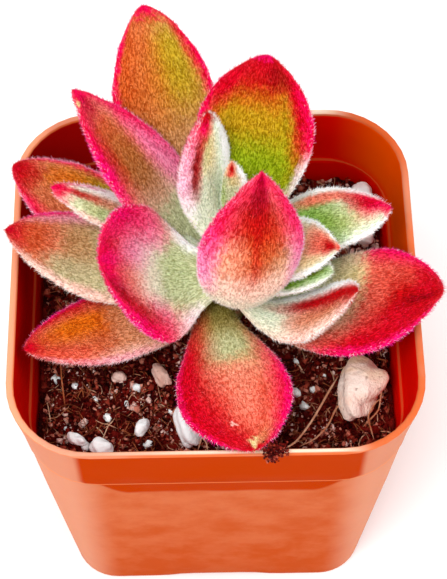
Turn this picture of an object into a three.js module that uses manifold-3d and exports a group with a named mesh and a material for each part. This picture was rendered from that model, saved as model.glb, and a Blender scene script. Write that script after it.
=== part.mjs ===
// A furry echeveria with red-edged leaves, growing in a small square plastic nursery pot.
//
// Millimetres, +Z up. The origin is the middle of the pot's underside, and the pot's sides face
// along X and Y. The front of the plant, with its leaf over the rim, faces -Y.
//
// The pot is a thin tapered shell with a collar, drain holes and four notches under its edge.
// The soil fills it to just under the collar's ledge. The stem stands in the soil on its roots and
// carries seventeen separate fleshy leaves, and loose lumps of pumice and perlite lie half sunk in
// the soil.
import * as THREE from "three";
import { mergeVertices } from "three/addons/utils/BufferGeometryUtils.js";
import Module from "manifold-3d";

const wasm = await Module();
wasm.setup();

// Pot
const POT_TOP = 56; // outside width across the rim
const POT_FOOT = 44; // outside width across the base
const POT_HEIGHT = 53.4;
const COLLAR_DEPTH = 9; // rim down to the ledge
const COLLAR_DRAFT = 1.1; // how much narrower each side is at the foot of the collar
const LEDGE_STEP = 0.6; // how far each flat side steps in at the ledge
const LEDGE_SLOPE = 0.6; // and the height it does so in
const WALL = 1;
const FLOOR = 1.4;
const RIM_CORNER = 11.4; // radius of the rim's outside corners
const COLLAR_CORNER = 11;
const BODY_CORNER = 9;
const FOOT_CORNER = 6.5;
const CORNER_STEPS = 7;
const DRAIN_RADIUS = 2.4;
const DRAIN_OFFSET = 12; // drain holes from the middle, along X and Y
const NOTCH_WIDTH = 13;
const NOTCH_HEIGHT = 1;
const NOTCH_REACH = 3.5; // how far each notch runs in under the base

// Soil
const GAP = 0.3; // clearance between separate pieces that touch
const SOIL_LEVEL = 40.5;
const SOIL_CELLS = 24;

// Leaves
const LEAF_AROUND = 16;
const LEAF_ALONG = 12;
const LEAF_NECK = 0.34; // width at the seat as a share of the widest

const COLOURS = {
  pot: { color: 0xc9501f, roughness: 0.45, metalness: 0 },
  soil: { color: 0x2e1712, roughness: 0.95, metalness: 0 },
  stem: { color: 0x8f8a52, roughness: 0.8, metalness: 0 },
  redLeaf: { color: 0xc9353f, roughness: 0.75, metalness: 0 },
  oliveLeaf: { color: 0xa8703c, roughness: 0.75, metalness: 0 },
  paleLeaf: { color: 0xb9b08c, roughness: 0.75, metalness: 0 },
  stone: { color: 0xe6ddd0, roughness: 0.9, metalness: 0 },
};

const point = (x, y, z) => new THREE.Vector3(x, y, z);
const UP = point(0, 0, 1);

// Each leaf runs from its seat on the stem to its tip. Lengths are millimetres and turns are
// degrees. sag is how far its spine hangs below the straight line between its ends, and lean is
// how far it bends to its left. roll turns it about that line and cup lifts its edges. widest is
// the share of its length where it is widest. taper shapes the tip, with small values blunt, and
// waist draws in the lower half. Where they're given, skew slides one edge ahead of the other, and
// heading is the way it faces out from the stem. The inner leaves come first.
const LEAVES = [
  { name: "leaf_crown", look: "redLeaf",
    seat: [2, -1, 53], tip: [6.3, 0.5, 77], width: 14.6, thick: 4.5,
    sag: 7, roll: 0, cup: 0.25, widest: 0.55, taper: 0.95, lean: -0.6, heading: -88 },
  { name: "leaf_heart", look: "paleLeaf",
    seat: [3.2, 3, 57], tip: [2.6, 7, 70], width: 4, thick: 2,
    sag: 1, roll: 0, cup: 0.1, widest: 0.5, taper: 0.7, lean: -0.4 },
  { name: "leaf_left_cupped", look: "redLeaf",
    seat: [-0.5, -0.8, 54], tip: [-15, -6.5, 66], width: 19, thick: 3.6,
    sag: 4, roll: -25, cup: 0.2, widest: 0.4, taper: 0.5, lean: 0, heading: 200, skew: -0.16 },
  { name: "leaf_back_upright", look: "paleLeaf",
    seat: [0.5, 3, 57], tip: [-0.6, 12.2, 74], width: 9, thick: 4.8,
    sag: 2, roll: 40, cup: 0.1, widest: 0.5, taper: 0.65, lean: 0 },
  { name: "leaf_right_inner", look: "paleLeaf",
    seat: [3.5, 1, 57], tip: [16.9, -1.7, 62], width: 10.5, thick: 2.6,
    sag: 1, roll: 0, cup: 0.12, widest: 0.5, taper: 0.8, lean: 0.5 },
  { name: "leaf_right_bud", look: "paleLeaf",
    seat: [3.5, -1, 54], tip: [15.9, -4.2, 60], width: 4.6, thick: 2,
    sag: 1, roll: 0, cup: 0.1, widest: 0.5, taper: 0.5, lean: 0 },
  { name: "leaf_right_curled", look: "paleLeaf",
    seat: [3, -3, 53], tip: [19, -8.3, 62], width: 8.4, thick: 3.2,
    sag: 4.6, roll: 0, cup: 0.12, widest: 0.55, taper: 0.55, lean: -2.1 },
  { name: "leaf_back_left", look: "redLeaf",
    seat: [0, 3.6, 51.5], tip: [-18.5, 16.7, 73.5], width: 12.8, thick: 3.6,
    sag: 2, roll: 10, cup: 0.25, widest: 0.42, taper: 0.8, lean: -0.8 },
  { name: "leaf_back_broad", look: "oliveLeaf",
    seat: [3, 4, 55], tip: [7.7, 20, 76], width: 16.2, thick: 3.7,
    sag: 2, roll: 0, cup: 0.12, widest: 0.6, taper: 0.65, lean: 0 },
  { name: "leaf_right_back", look: "paleLeaf",
    seat: [4, 2, 54], tip: [24.4, 6, 60], width: 10.4, thick: 3.2,
    sag: 1, roll: 0, cup: 0.12, widest: 0.55, taper: 0.7, lean: 2.1 },
  { name: "leaf_left_young", look: "paleLeaf",
    seat: [0, 1, 54], tip: [-21.8, 7.4, 64], width: 5.2, thick: 3,
    sag: 2, roll: 0, cup: 0.12, widest: 0.5, taper: 0.6, lean: -1.2 },
  { name: "leaf_back_tall", look: "oliveLeaf",
    seat: [0, 3, 50.5], tip: [-9.2, 32.4, 72], width: 14.8, thick: 3.6,
    sag: 2, roll: 0, cup: 0.12, widest: 0.6, taper: 0.65, lean: 0.6 },
  { name: "leaf_left", look: "oliveLeaf",
    seat: [0, 0, 50], tip: [-28.5, 4.8, 58], width: 13.5, thick: 3.7,
    sag: 2, roll: 0, cup: 0.1, widest: 0.55, taper: 0.7, lean: -0.3 },
  { name: "leaf_right_broad", look: "redLeaf",
    seat: [4, -1.5, 50], tip: [30.7, -6.2, 58], width: 17, thick: 3.7,
    sag: 2, roll: 0, cup: 0.1, widest: 0.62, taper: 0.65, lean: -1.3 },
  { name: "leaf_far_left", look: "redLeaf",
    seat: [0, 2, 48.5], tip: [-27.8, 15.6, 58], width: 13, thick: 3.6,
    sag: 2, roll: 0, cup: 0.12, widest: 0.6, taper: 0.65, lean: 0 },
  { name: "leaf_front", look: "redLeaf",
    seat: [0, -1, 47.5], tip: [4.5, -28, 54.8], width: 15.8, thick: 3.7,
    sag: 0, roll: 0, cup: 0.05, widest: 0.64, taper: 0.6, lean: -1, waist: 2.2, skew: -0.12 },
  { name: "leaf_front_left", look: "redLeaf",
    seat: [0, -1, 47], tip: [-25.8, -11.4, 53], width: 11, thick: 3.6,
    sag: 1, roll: 0, cup: 0.1, widest: 0.55, taper: 0.7, lean: -0.4 },
];

// Loose lumps on the soil: middle on the surface, three sizes, and a turn about Z in degrees.
const STONES = [
  { name: "pumice_front_right", at: [20.6, -13.6, 43.6], size: [7.4, 8.6, 6.4], turn: -35 },
  { name: "pumice_front_middle", at: [-4.2, -18.6, 42.8], size: [3.8, 6.4, 4], turn: 20 },
  { name: "pumice_by_front_leaf", at: [-7.6, -10, 42.8], size: [2.2, 4, 2.4], turn: 28 },
  { name: "perlite_at_front_rim", at: [-15.8, -20.9, 42.6], size: [3.2, 2.4, 2.2], turn: 0 },
  { name: "perlite_front", at: [-10.3, -17.9, 42.4], size: [1.9, 3, 2], turn: -20 },
  { name: "perlite_corner", at: [-19.2, -19.6, 42.4], size: [2.8, 1.6, 1.8], turn: -30 },
  { name: "perlite_left", at: [-13.5, -9.9, 42.4], size: [2.2, 1.5, 1.6], turn: 15 },
  { name: "pumice_back_right", at: [22.2, 21, 42.6], size: [3.6, 3, 2.6], turn: -30 },
  { name: "pumice_right", at: [22.3, 12.6, 42.5], size: [2.8, 2.4, 2.2], turn: 10 },
];

// A crumb of peat left lying on the front rim.
const CRUMB = { name: "peat_crumb_on_rim", at: [7.6, -27.7, 54.5], size: [3, 2.2, 1.6], turn: 0 };

// The stem's middle line from its foot in the soil to the growing point, and its radii there.
const STEM = [point(1.2, 1, 30), point(1.4, 1, 44), point(2, 1.2, 52), point(2.6, 1.4, 58.5)];
const STEM_RADII = [3.2, 3.1, 2.8, 1.3];
const ROOTS = 6;
const ROOT_REACH = 9; // how far out the shortest root runs
const ROOT_DROP = 13; // how far down the shallowest root runs
const ROOT_THICK = 1.5; // a root's radius at the stem
const ROOT_THIN = 0.6; // and at its end

// A closed three.js geometry as a manifold-3d solid.
function solid(geometry) {
  const bare = geometry.clone();
  bare.deleteAttribute("normal");
  bare.deleteAttribute("uv");
  const merged = mergeVertices(bare, 1e-4);
  return new wasm.Manifold(new wasm.Mesh({
    numProp: 3,
    vertProperties: new Float32Array(merged.attributes.position.array),
    triVerts: new Uint32Array(merged.index.array),
  }));
}

// A manifold-3d solid as a three.js geometry.
function geometryOf(made) {
  const mesh = made.getMesh();
  const geometry = new THREE.BufferGeometry();
  geometry.setAttribute("position", new THREE.BufferAttribute(mesh.vertProperties, 3));
  geometry.setIndex(new THREE.BufferAttribute(mesh.triVerts, 1));
  return geometry;
}

// The largest of a solid's separate bodies, which drops the slivers that a cut leaves.
function largestBody(made) {
  return made.decompose().reduce((a, b) => (a.volume() > b.volume() ? a : b));
}

// Moves every vertex of a geometry to place(position, v), where v is its texture height.
function reshape(geometry, place) {
  const { position, uv } = geometry.attributes;
  const from = new THREE.Vector3();
  for (let i = 0; i < position.count; i++) {
    from.fromBufferAttribute(position, i);
    const to = place(from, uv.getY(i));
    position.setXYZ(i, to.x, to.y, to.z);
  }
  return geometry;
}

// The outline of a square with rounded corners, centred on the origin.
function roundedSquare(width, corner) {
  const half = width / 2;
  const arm = half - corner;
  const outline = new THREE.Shape();
  outline.moveTo(-arm, -half);
  outline.lineTo(arm, -half);
  outline.absarc(arm, -arm, corner, -Math.PI / 2, 0);
  outline.lineTo(half, arm);
  outline.absarc(arm, arm, corner, 0, Math.PI / 2);
  outline.lineTo(-arm, half);
  outline.absarc(-arm, arm, corner, Math.PI / 2, Math.PI);
  outline.lineTo(-half, -arm);
  outline.absarc(-arm, -arm, corner, Math.PI, Math.PI * 1.5);
  return outline;
}

// A stack of rounded squares, one for each { z, width, corner }, skinned into one solid.
function squareLoft(levels) {
  const first = levels[0];
  const steps = levels.length - 1;
  const arm = first.width / 2 - first.corner;
  const loft = new THREE.ExtrudeGeometry(roundedSquare(first.width, first.corner), {
    depth: steps,
    steps,
    bevelEnabled: false,
    curveSegments: CORNER_STEPS,
  });
  return reshape(loft, (p) => {
    const { z, width, corner } = levels[Math.round(p.z)];
    const x = THREE.MathUtils.clamp(p.x, -arm, arm);
    const y = THREE.MathUtils.clamp(p.y, -arm, arm);
    const spread = (width / 2 - corner) / arm;
    const round = corner / first.corner;
    return point(x * spread + (p.x - x) * round, y * spread + (p.y - y) * round, z);
  });
}

// The pot's outside, or its hollow when inset is the wall's thickness.
function potLevels(inset) {
  const ledge = POT_HEIGHT - COLLAR_DEPTH;
  const collarFoot = POT_TOP - 2 * COLLAR_DRAFT;
  const bodyTop = collarFoot - 2 * LEDGE_STEP;
  return [
    { z: 0, width: POT_FOOT, corner: FOOT_CORNER },
    { z: ledge - LEDGE_SLOPE, width: bodyTop, corner: BODY_CORNER },
    { z: ledge, width: collarFoot, corner: COLLAR_CORNER },
    { z: POT_HEIGHT, width: POT_TOP, corner: RIM_CORNER },
  ].map(({ z, width, corner }) => ({ z, width: width - 2 * inset, corner: corner - inset }));
}

// The pot's hollow at height z.
function hollowAt(z) {
  const levels = potLevels(WALL);
  const i = levels.findIndex((level) => level.z >= z);
  const [low, high] = [levels[i - 1], levels[i]];
  const t = (z - low.z) / (high.z - low.z);
  return {
    z,
    width: THREE.MathUtils.lerp(low.width, high.width, t),
    corner: THREE.MathUtils.lerp(low.corner, high.corner, t),
  };
}

function pot() {
  const hollow = [hollowAt(FLOOR), ...potLevels(WALL).slice(1)];
  hollow.push({ ...hollow.at(-1), z: POT_HEIGHT + 1 });
  let shell = solid(squareLoft(potLevels(0))).subtract(solid(squareLoft(hollow)));
  for (const [x, y] of [[1, 1], [-1, 1], [-1, -1], [1, -1]]) {
    const hole = new THREE.CylinderGeometry(DRAIN_RADIUS, DRAIN_RADIUS, FLOOR * 4, 20);
    hole.rotateX(Math.PI / 2);
    hole.translate(x * DRAIN_OFFSET, y * DRAIN_OFFSET, 0);
    shell = shell.subtract(solid(hole));
  }
  for (let side = 0; side < 4; side++) {
    const notch = new THREE.BoxGeometry(NOTCH_WIDTH, NOTCH_REACH * 2, NOTCH_HEIGHT * 2);
    notch.translate(0, -POT_FOOT / 2, 0);
    notch.rotateZ((side * Math.PI) / 2);
    shell = shell.subtract(solid(notch));
  }
  return shell;
}

// Height of the soil's heap, lumps and grains at (x, y), above its level.
function crumbs(x, y) {
  const heap = 1.4 * Math.exp(-(x * x + y * y) / 260);
  const lumps = 0.55 * Math.sin(x * 0.62 + 1.3) * Math.cos(y * 0.55 - 0.4);
  const grains = 0.4 * Math.sin(x * 1.9 + y * 0.8) * Math.sin(y * 2.1 - x * 0.5);
  return heap + lumps + grains;
}

// The soil as it fills the pot, before the stem and stones are sunk in it.
function soilBlock() {
  const bottom = hollowAt(FLOOR + GAP);
  const surface = hollowAt(SOIL_LEVEL);
  const box = new THREE.BoxGeometry(2, 2, 1, SOIL_CELLS, SOIL_CELLS, 1);
  return reshape(box, (p) => {
    const level = p.z > 0 ? surface : bottom;
    const half = level.width / 2 - GAP;
    const arm = half - (level.corner - GAP);
    const x = THREE.MathUtils.clamp(p.x * half, -arm, arm);
    const y = THREE.MathUtils.clamp(p.y * half, -arm, arm);
    // Past the arms, each corner of the square is drawn in to an arc.
    const outX = p.x * half - x;
    const outY = p.y * half - y;
    const beyond = Math.hypot(outX, outY);
    const draw = beyond > 0 ? Math.max(Math.abs(outX), Math.abs(outY)) / beyond : 0;
    const to = point(x + outX * draw, y + outY * draw, level.z);
    if (p.z > 0) to.z += crumbs(to.x, to.y);
    return to;
  });
}

// A round tapering limb along a path, with a radius for each share of its length.
function limb(path, radiusAt, grow, around, along) {
  const frames = path.computeFrenetFrames(along, false);
  return reshape(new THREE.SphereGeometry(1, around, along + 2), (p, v) => {
    // The ball's rings become the limb's, and the rings next to its poles become flat ends.
    const ring = Math.round((1 - v) * (along + 2));
    const i = THREE.MathUtils.clamp(ring - 1, 0, along);
    const ringRadius = Math.hypot(p.x, p.z);
    const radius = ringRadius < 1e-6 ? 0 : (radiusAt(i / along) + grow) / ringRadius;
    const past = i === 0 ? -grow : i === along ? grow : 0;
    return path.getPointAt(i / along)
      .addScaledVector(frames.tangents[i], past)
      .addScaledVector(frames.normals[i], p.x * radius)
      .addScaledVector(frames.binormals[i], p.z * radius);
  });
}

function stemRadius(share) {
  const at = share * (STEM_RADII.length - 1);
  const i = Math.min(Math.floor(at), STEM_RADII.length - 2);
  return THREE.MathUtils.lerp(STEM_RADII[i], STEM_RADII[i + 1], at - i);
}

// The stem with its roots spread below it. It is grown by the clearance to cut a seat for it.
function stemAndRoots(grow = 0) {
  const foot = STEM[0];
  let made = solid(limb(new THREE.CatmullRomCurve3(STEM), stemRadius, grow, 14, 12));
  for (let k = 0; k < ROOTS; k++) {
    const turn = (k / ROOTS) * Math.PI * 2 + 0.4;
    const out = point(Math.cos(turn), Math.sin(turn), 0);
    const reach = ROOT_REACH * (1 + (k % 3) / 3);
    const drop = ROOT_DROP * (1 + (k % 4) / 4);
    const path = new THREE.CatmullRomCurve3([
      foot.clone().addScaledVector(UP, 3),
      foot.clone().addScaledVector(out, reach * 0.45).addScaledVector(UP, -3),
      foot.clone().addScaledVector(out, reach).addScaledVector(UP, -drop),
    ]);
    const radius = (share) => THREE.MathUtils.lerp(ROOT_THICK, ROOT_THIN, share);
    made = made.add(solid(limb(path, radius, grow, 7, 6)));
  }
  return made;
}

// Half of a leaf's width at share s of its length, as a share of its widest half.
function leafOutline(s, { widest, taper, waist = 1.3 }) {
  if (s < widest) {
    return LEAF_NECK + (1 - LEAF_NECK) * Math.sin((Math.PI / 2) * (s / widest)) ** waist;
  }
  return Math.cos((Math.PI / 2) * ((s - widest) / (1 - widest))) ** taper;
}

// Half of a leaf's thickness at share s of its length, as a share of its thickest half.
function leafDepth(s) {
  return (0.75 + 0.25 * Math.sin(Math.PI * s)) * (1 - s ** 3) ** 0.5;
}

// A leaf: a bent and cupped body with an elliptical section, grown by the clearance to cut others.
function leafBody(leaf, grow = 0) {
  const { skew = 0 } = leaf;
  const seat = point(...leaf.seat);
  const line = point(...leaf.tip).sub(seat);
  const length = line.length();
  const along = line.normalize();
  const heading = leaf.heading === undefined
    ? Math.atan2(along.y, along.x)
    : THREE.MathUtils.degToRad(leaf.heading);
  const face = point(-Math.cos(heading), -Math.sin(heading), 1);
  face.addScaledVector(along, -face.dot(along)).normalize();
  face.applyAxisAngle(along, THREE.MathUtils.degToRad(leaf.roll));
  const left = face.clone().cross(along);

  return reshape(new THREE.SphereGeometry(1, LEAF_AROUND, LEAF_ALONG), (p, v) => {
    // The ball's rings run from the seat to the tip, closer together towards the tip.
    const ring = Math.round((1 - v) * LEAF_ALONG);
    const share = Math.max(ring - 1, 0) / (LEAF_ALONG - 1);
    const s = 1 - (1 - share) ** 1.7;
    const ringRadius = Math.hypot(p.x, p.z);
    const isPole = ringRadius < 1e-6;
    const half = (leafOutline(s, leaf) * leaf.width) / 2 + grow;
    const deep = (leafDepth(s) * leaf.thick) / 2 + grow;
    const across = isPole ? 0 : (p.x / ringRadius) * half;
    const above = isPole ? 0 : (p.z / ringRadius) * deep;
    const bend = Math.sin(Math.PI * s ** 0.7);
    const cupped = (leaf.cup * across * across) / half;
    const past = ring === LEAF_ALONG ? grow : ring <= 1 ? -grow : 0;
    return seat.clone()
      .addScaledVector(along, s * length + past + skew * across)
      .addScaledVector(left, across + leaf.lean * bend)
      .addScaledVector(face, above + cupped - leaf.sag * bend);
  });
}

// A lump of pumice, perlite or peat with a knobbly surface.
function lump({ at, size, turn }, grow = 0) {
  const made = reshape(new THREE.SphereGeometry(1, 12, 8), (p) => {
    const knobs = 0.13 * Math.sin(3.1 * p.x + at[0]) * Math.cos(2.7 * p.y + at[1]);
    const pits = 0.08 * Math.sin(5.3 * p.z + 4 * p.x);
    const swell = (1 + knobs + pits) / 2;
    return point(
      p.x * (swell * size[0] + grow),
      p.y * (swell * size[1] + grow),
      p.z * (swell * size[2] + grow),
    );
  });
  return made.rotateZ(THREE.MathUtils.degToRad(turn)).translate(...at);
}

const materials = Object.fromEntries(
  Object.entries(COLOURS).map(([name, look]) => [name, new THREE.MeshStandardMaterial(look)]),
);

const plant = new THREE.Group();

function addNode(name, made, look) {
  const mesh = new THREE.Mesh(geometryOf(made), materials[look]);
  mesh.name = name;
  plant.add(mesh);
}

addNode("pot", pot(), "pot");

const stemSeat = stemAndRoots(GAP);
let soil = solid(soilBlock()).subtract(stemSeat);
for (const stone of STONES) {
  soil = soil.subtract(solid(lump(stone, GAP)));
  addNode(stone.name, solid(lump(stone)), "stone");
}
addNode("soil", soil, "soil");
addNode(CRUMB.name, solid(lump(CRUMB)), "soil");
addNode("stem_and_roots", stemAndRoots(), "stem");

// Each leaf is seated on the stem and gives way to the leaves inside it.
const inner = [];
for (const leaf of LEAVES) {
  let made = solid(leafBody(leaf)).subtract(stemSeat);
  for (const other of inner) made = made.subtract(other);
  inner.push(solid(leafBody(leaf, GAP)));
  addNode(leaf.name, largestBody(made), leaf.look);
}

export default plant;
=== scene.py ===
"""The looks of the potted ruby slippers echeveria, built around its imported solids.

Lengths in the tables are millimetres in the part's own frame: the origin is the middle of the
pot's underside, +Z is up and the leaf over the rim points to -Y. Meshes are in metres.

The downy leaf blades, the pot, the soil, the stones and the stem each replace their solid.
Fuzz, crumbs, fibres and perlite grains are real meshes that are added to them.
"""

import logging
import math
from dataclasses import dataclass
from enum import Enum

import bmesh
import bpy
import numpy as np
from mathutils import Matrix


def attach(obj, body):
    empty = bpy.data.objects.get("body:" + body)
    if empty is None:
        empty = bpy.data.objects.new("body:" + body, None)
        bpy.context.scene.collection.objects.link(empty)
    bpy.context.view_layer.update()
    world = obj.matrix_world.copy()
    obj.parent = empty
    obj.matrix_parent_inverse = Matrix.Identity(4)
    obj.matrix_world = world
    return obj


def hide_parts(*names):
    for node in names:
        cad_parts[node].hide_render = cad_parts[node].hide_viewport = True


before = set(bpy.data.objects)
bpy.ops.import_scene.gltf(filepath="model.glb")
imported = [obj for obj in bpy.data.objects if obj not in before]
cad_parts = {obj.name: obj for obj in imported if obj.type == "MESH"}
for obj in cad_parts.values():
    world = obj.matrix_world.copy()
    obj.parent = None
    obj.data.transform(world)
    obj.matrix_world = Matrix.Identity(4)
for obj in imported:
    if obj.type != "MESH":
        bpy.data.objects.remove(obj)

MM = 0.001
BODY = "root"
log = logging.getLogger("scene")

Span = tuple[float, float]
Place = tuple[float, float, float]
Ramp = tuple[float, float, float, float]
Cloud = tuple[float, ...]
Colour = tuple[float, float, float, float]
Feed = bpy.types.NodeSocket | float | tuple | str


# Colours


def linear(code: str) -> Colour:
    """Turns a screen colour into the linear one that shaders use.

    Args:
        code: Six hexadecimal digits, two each for red, green and blue.

    Returns:
        Red, green and blue from 0 to 1, and a full alpha.
    """
    shares = [int(code[i : i + 2], 16) / 255 for i in (0, 2, 4)]
    return (*[s / 12.92 if s <= 0.04045 else ((s + 0.055) / 1.055) ** 2.4 for s in shares], 1.0)


class Tint(Enum):
    """The colours that the leaves are painted with."""

    WINE = "94000e"
    CRIMSON = "ee0450"
    RUBY = "ce0420"
    SCARLET = "c0060c"
    PINK = "f00c70"
    ROSE = "f69cc0"
    CORAL = "f06450"
    SALMON = "f49c80"
    RUST = "cc4e18"
    ORANGE = "da6c10"
    TAN = "d8966c"
    STRAW = "ecd498"
    OLIVE = "c4961a"
    GREEN = "a2a810"
    LEAF = "7cac20"
    MOSS = "8a7c34"
    KHAKI = "b0a464"
    SAGE = "ccd2a6"
    MINT = "eaf4da"
    CREAM = "f8ead8"
    BLUSH = "fad0c2"
    WHITE = "ffffff"


class Slot(Enum):
    """Names for the kinds of piece. Only a pale leaf's kind changes what is built."""

    RED = "leaf_red"
    OLIVE = "leaf_olive"
    PALE = "leaf_pale"
    STEM = "stem"
    POT = "pot"
    SOIL = "soil"
    STONE = "stone"


# Node trees


class Nodes:
    """Adds nodes to one tree and wires them. An input is a socket, a value or a screen colour."""

    def __init__(self, tree: bpy.types.NodeTree) -> None:
        """Keeps the tree that nodes are added to."""
        self.tree = tree

    def feed(self, socket: bpy.types.NodeSocket, value: Feed) -> None:
        """Sets an input.

        Args:
            socket: The input.
            value: An output to link to it, a constant, or a screen colour's six digits.
        """
        if isinstance(value, bpy.types.NodeSocket):
            self.tree.links.new(value, socket)
        else:
            socket.default_value = linear(value) if isinstance(value, str) else value

    def add(self, kind: str, inputs: dict | None = None, **settings: object) -> bpy.types.Node:
        """Adds a node.

        Args:
            kind: The node's type without its leading word "ShaderNode".
            inputs: A value or socket for each input name or index.
            **settings: Properties of the node itself.

        Returns:
            The new node.
        """
        node = self.tree.nodes.new("ShaderNode" + kind)
        for name, value in settings.items():
            setattr(node, name, value)
        for name, value in (inputs or {}).items():
            self.feed(node.inputs[name], value)
        return node

    def math(self, operation: str, *values: Feed, clamp: bool = False) -> bpy.types.NodeSocket:
        """Adds a Math node.

        Args:
            operation: What it does.
            *values: Its inputs in order.
            clamp: Whether the result is kept from 0 to 1.

        Returns:
            Its result.
        """
        node = self.add("Math", dict(enumerate(values)), operation=operation, use_clamp=clamp)
        return node.outputs[0]

    def times(self, first: Feed, *others: Feed) -> Feed:
        """Multiplies values.

        Args:
            first: The first value.
            *others: What it is multiplied by, one after the other.

        Returns:
            The product.
        """
        for other in others:
            first = self.math("MULTIPLY", first, other)
        return first

    def mix(self, share: Feed, a: Feed, b: Feed, blend: str = "MIX") -> bpy.types.NodeSocket:
        """Mixes two colours.

        Args:
            share: How much of the second, from 0 to 1.
            a: The first colour.
            b: The second colour.
            blend: How they are combined.

        Returns:
            The mixed colour.
        """
        node = self.add("Mix", {0: share, 6: a, 7: b}, data_type="RGBA", blend_type=blend)
        return node.outputs[2]

    def shaded(self, colour: Feed, value: Feed) -> bpy.types.NodeSocket:
        """Multiplies all of a colour by one value, and returns it."""
        grey = self.add("CombineXYZ", {0: value, 1: value, 2: value}).outputs[0]
        return self.mix(1.0, colour, grey, "MULTIPLY")

    def deepened(self, colour: Feed, power: Feed) -> bpy.types.NodeSocket:
        """Raises a colour to a power, which deepens it above 1, and returns it."""
        return self.add("Gamma", {0: colour, 1: power}).outputs[0]

    def fit(self, value: Feed, low: Feed, high: Feed, start: Feed = 0.0, end: Feed = 1.0,
            smooth: bool = True) -> bpy.types.NodeSocket:
        """Maps a range of a value to another, and holds the result there.

        Args:
            value: The value.
            low: Where the range begins.
            high: Where the range ends.
            start: The result at its beginning.
            end: The result at its end.
            smooth: Whether it eases in and out.

        Returns:
            The result.
        """
        node = self.add("MapRange", {0: value, 1: low, 2: high, 3: start, 4: end},
                        interpolation_type="SMOOTHSTEP" if smooth else "LINEAR")
        return node.outputs[0]

    def ease(self, place: Feed, ramp: Ramp) -> bpy.types.NodeSocket:
        """Maps a place to a share.

        Args:
            place: The place along an axis, in metres.
            ramp: Two places in millimetres, and the shares at them.

        Returns:
            The share.
        """
        low, high, start, end = ramp
        return self.fit(place, low * MM, high * MM, start, end)

    def noise(self, where: Feed, scale: Feed, detail: float = 3.0, rough: float = 0.55,
              distortion: float = 0.0, output: str = "Fac") -> bpy.types.NodeSocket:
        """Adds a Noise Texture node.

        Args:
            where: The point that it is read at.
            scale: How many features a metre, or a unit.
            detail: How many finer layers it has.
            rough: How strong they are.
            distortion: How far it is swirled.
            output: Which output is wanted.

        Returns:
            That output.
        """
        inputs = {"Vector": where, "Scale": scale, "Detail": detail, "Roughness": rough,
                  "Distortion": distortion}
        return self.add("TexNoise", inputs).outputs[output]

    def ramp(self, value: Feed, *stops: tuple[float, str]) -> bpy.types.NodeSocket:
        """Adds a Color Ramp.

        Args:
            value: Where on the ramp.
            *stops: A place from 0 to 1 and a screen colour for each stop, in order.

        Returns:
            The colour.
        """
        node = self.add("ValToRGB", {0: value})
        marks = node.color_ramp.elements
        while len(marks) < len(stops):
            marks.new(0.5)
        for mark, (place, code) in zip(marks, stops):
            mark.position, mark.color = place, linear(code)
        return node.outputs[0]

    def place(self) -> bpy.types.NodeSocket:
        """The point's place on the object, in metres."""
        return self.add("TexCoord").outputs["Object"]

    def split(self, vector: Feed) -> list[bpy.types.NodeSocket]:
        """The three numbers of a vector."""
        return list(self.add("SeparateXYZ", {0: vector}).outputs)

    def attribute(self, name: str, output: str) -> bpy.types.NodeSocket:
        """One output, "Fac" or "Vector", of a reader of the mesh's own attributes."""
        return self.add("Attribute", attribute_name=name, attribute_type="GEOMETRY").outputs[output]

    def group(self, tree: bpy.types.NodeTree, inputs: dict | None = None) -> bpy.types.bpy_prop_collection:
        """Adds a node group.

        Args:
            tree: The group's own tree.
            inputs: A value or socket for each input name.

        Returns:
            The new node's outputs.
        """
        node = self.tree.nodes.new("ShaderNodeGroup")
        node.node_tree = tree
        for name, value in (inputs or {}).items():
            self.feed(node.inputs[name], value)
        return node.outputs

    def speckle(self, scale: float) -> tuple[bpy.types.NodeSocket, bpy.types.NodeSocket]:
        """The shared grain's coarse and fine masks, for a size in features a metre."""
        grain = self.group(SPECKLE, {"Scale": scale})
        return grain["Coarse"], grain["Fine"]


class Group:
    """A shared effect: a node group with named inputs and outputs."""

    def __init__(self, name: str, inputs: dict[str, str], outputs: dict[str, str]) -> None:
        """Makes the empty group.

        Args:
            name: The group's name.
            inputs: "Float", "Color" or "Vector" for each input name.
            outputs: The same for each output name.
        """
        self.tree = bpy.data.node_groups.new(name, "ShaderNodeTree")
        for names, way in ((inputs, "INPUT"), (outputs, "OUTPUT")):
            for socket, kind in names.items():
                self.tree.interface.new_socket(socket, in_out=way, socket_type="NodeSocket" + kind)
        self.nodes = Nodes(self.tree)
        self.inputs = self.tree.nodes.new("NodeGroupInput").outputs
        self.outputs = self.tree.nodes.new("NodeGroupOutput").inputs

    def give(self, **values: Feed) -> bpy.types.NodeTree:
        """Wires the group's outputs.

        Args:
            **values: What each output gives.

        Returns:
            The group's finished tree.
        """
        for name, value in values.items():
            self.nodes.feed(self.outputs[name], value)
        return self.tree


def speckle_group() -> bpy.types.NodeTree:
    """Builds the grain that every matter shares.

    Returns:
        A group that gives a coarse and a fine mask from 0 to 1, for a size in features a metre.
    """
    finer = 6.0
    coarse_layers, fine_layers, fine_strength = 4.0, 2.0, 0.7
    coarse_mask, fine_mask = (0.32, 0.68), (0.35, 0.65)
    group = Group("speckle", {"Scale": "Float"}, {"Coarse": "Float", "Fine": "Float"})
    n, scale = group.nodes, group.inputs["Scale"]
    where = n.place()
    coarse = n.noise(where, scale, coarse_layers)
    fine = n.noise(where, n.times(scale, finer), fine_layers, fine_strength)
    return group.give(Coarse=n.fit(coarse, *coarse_mask), Fine=n.fit(fine, *fine_mask))


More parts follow.
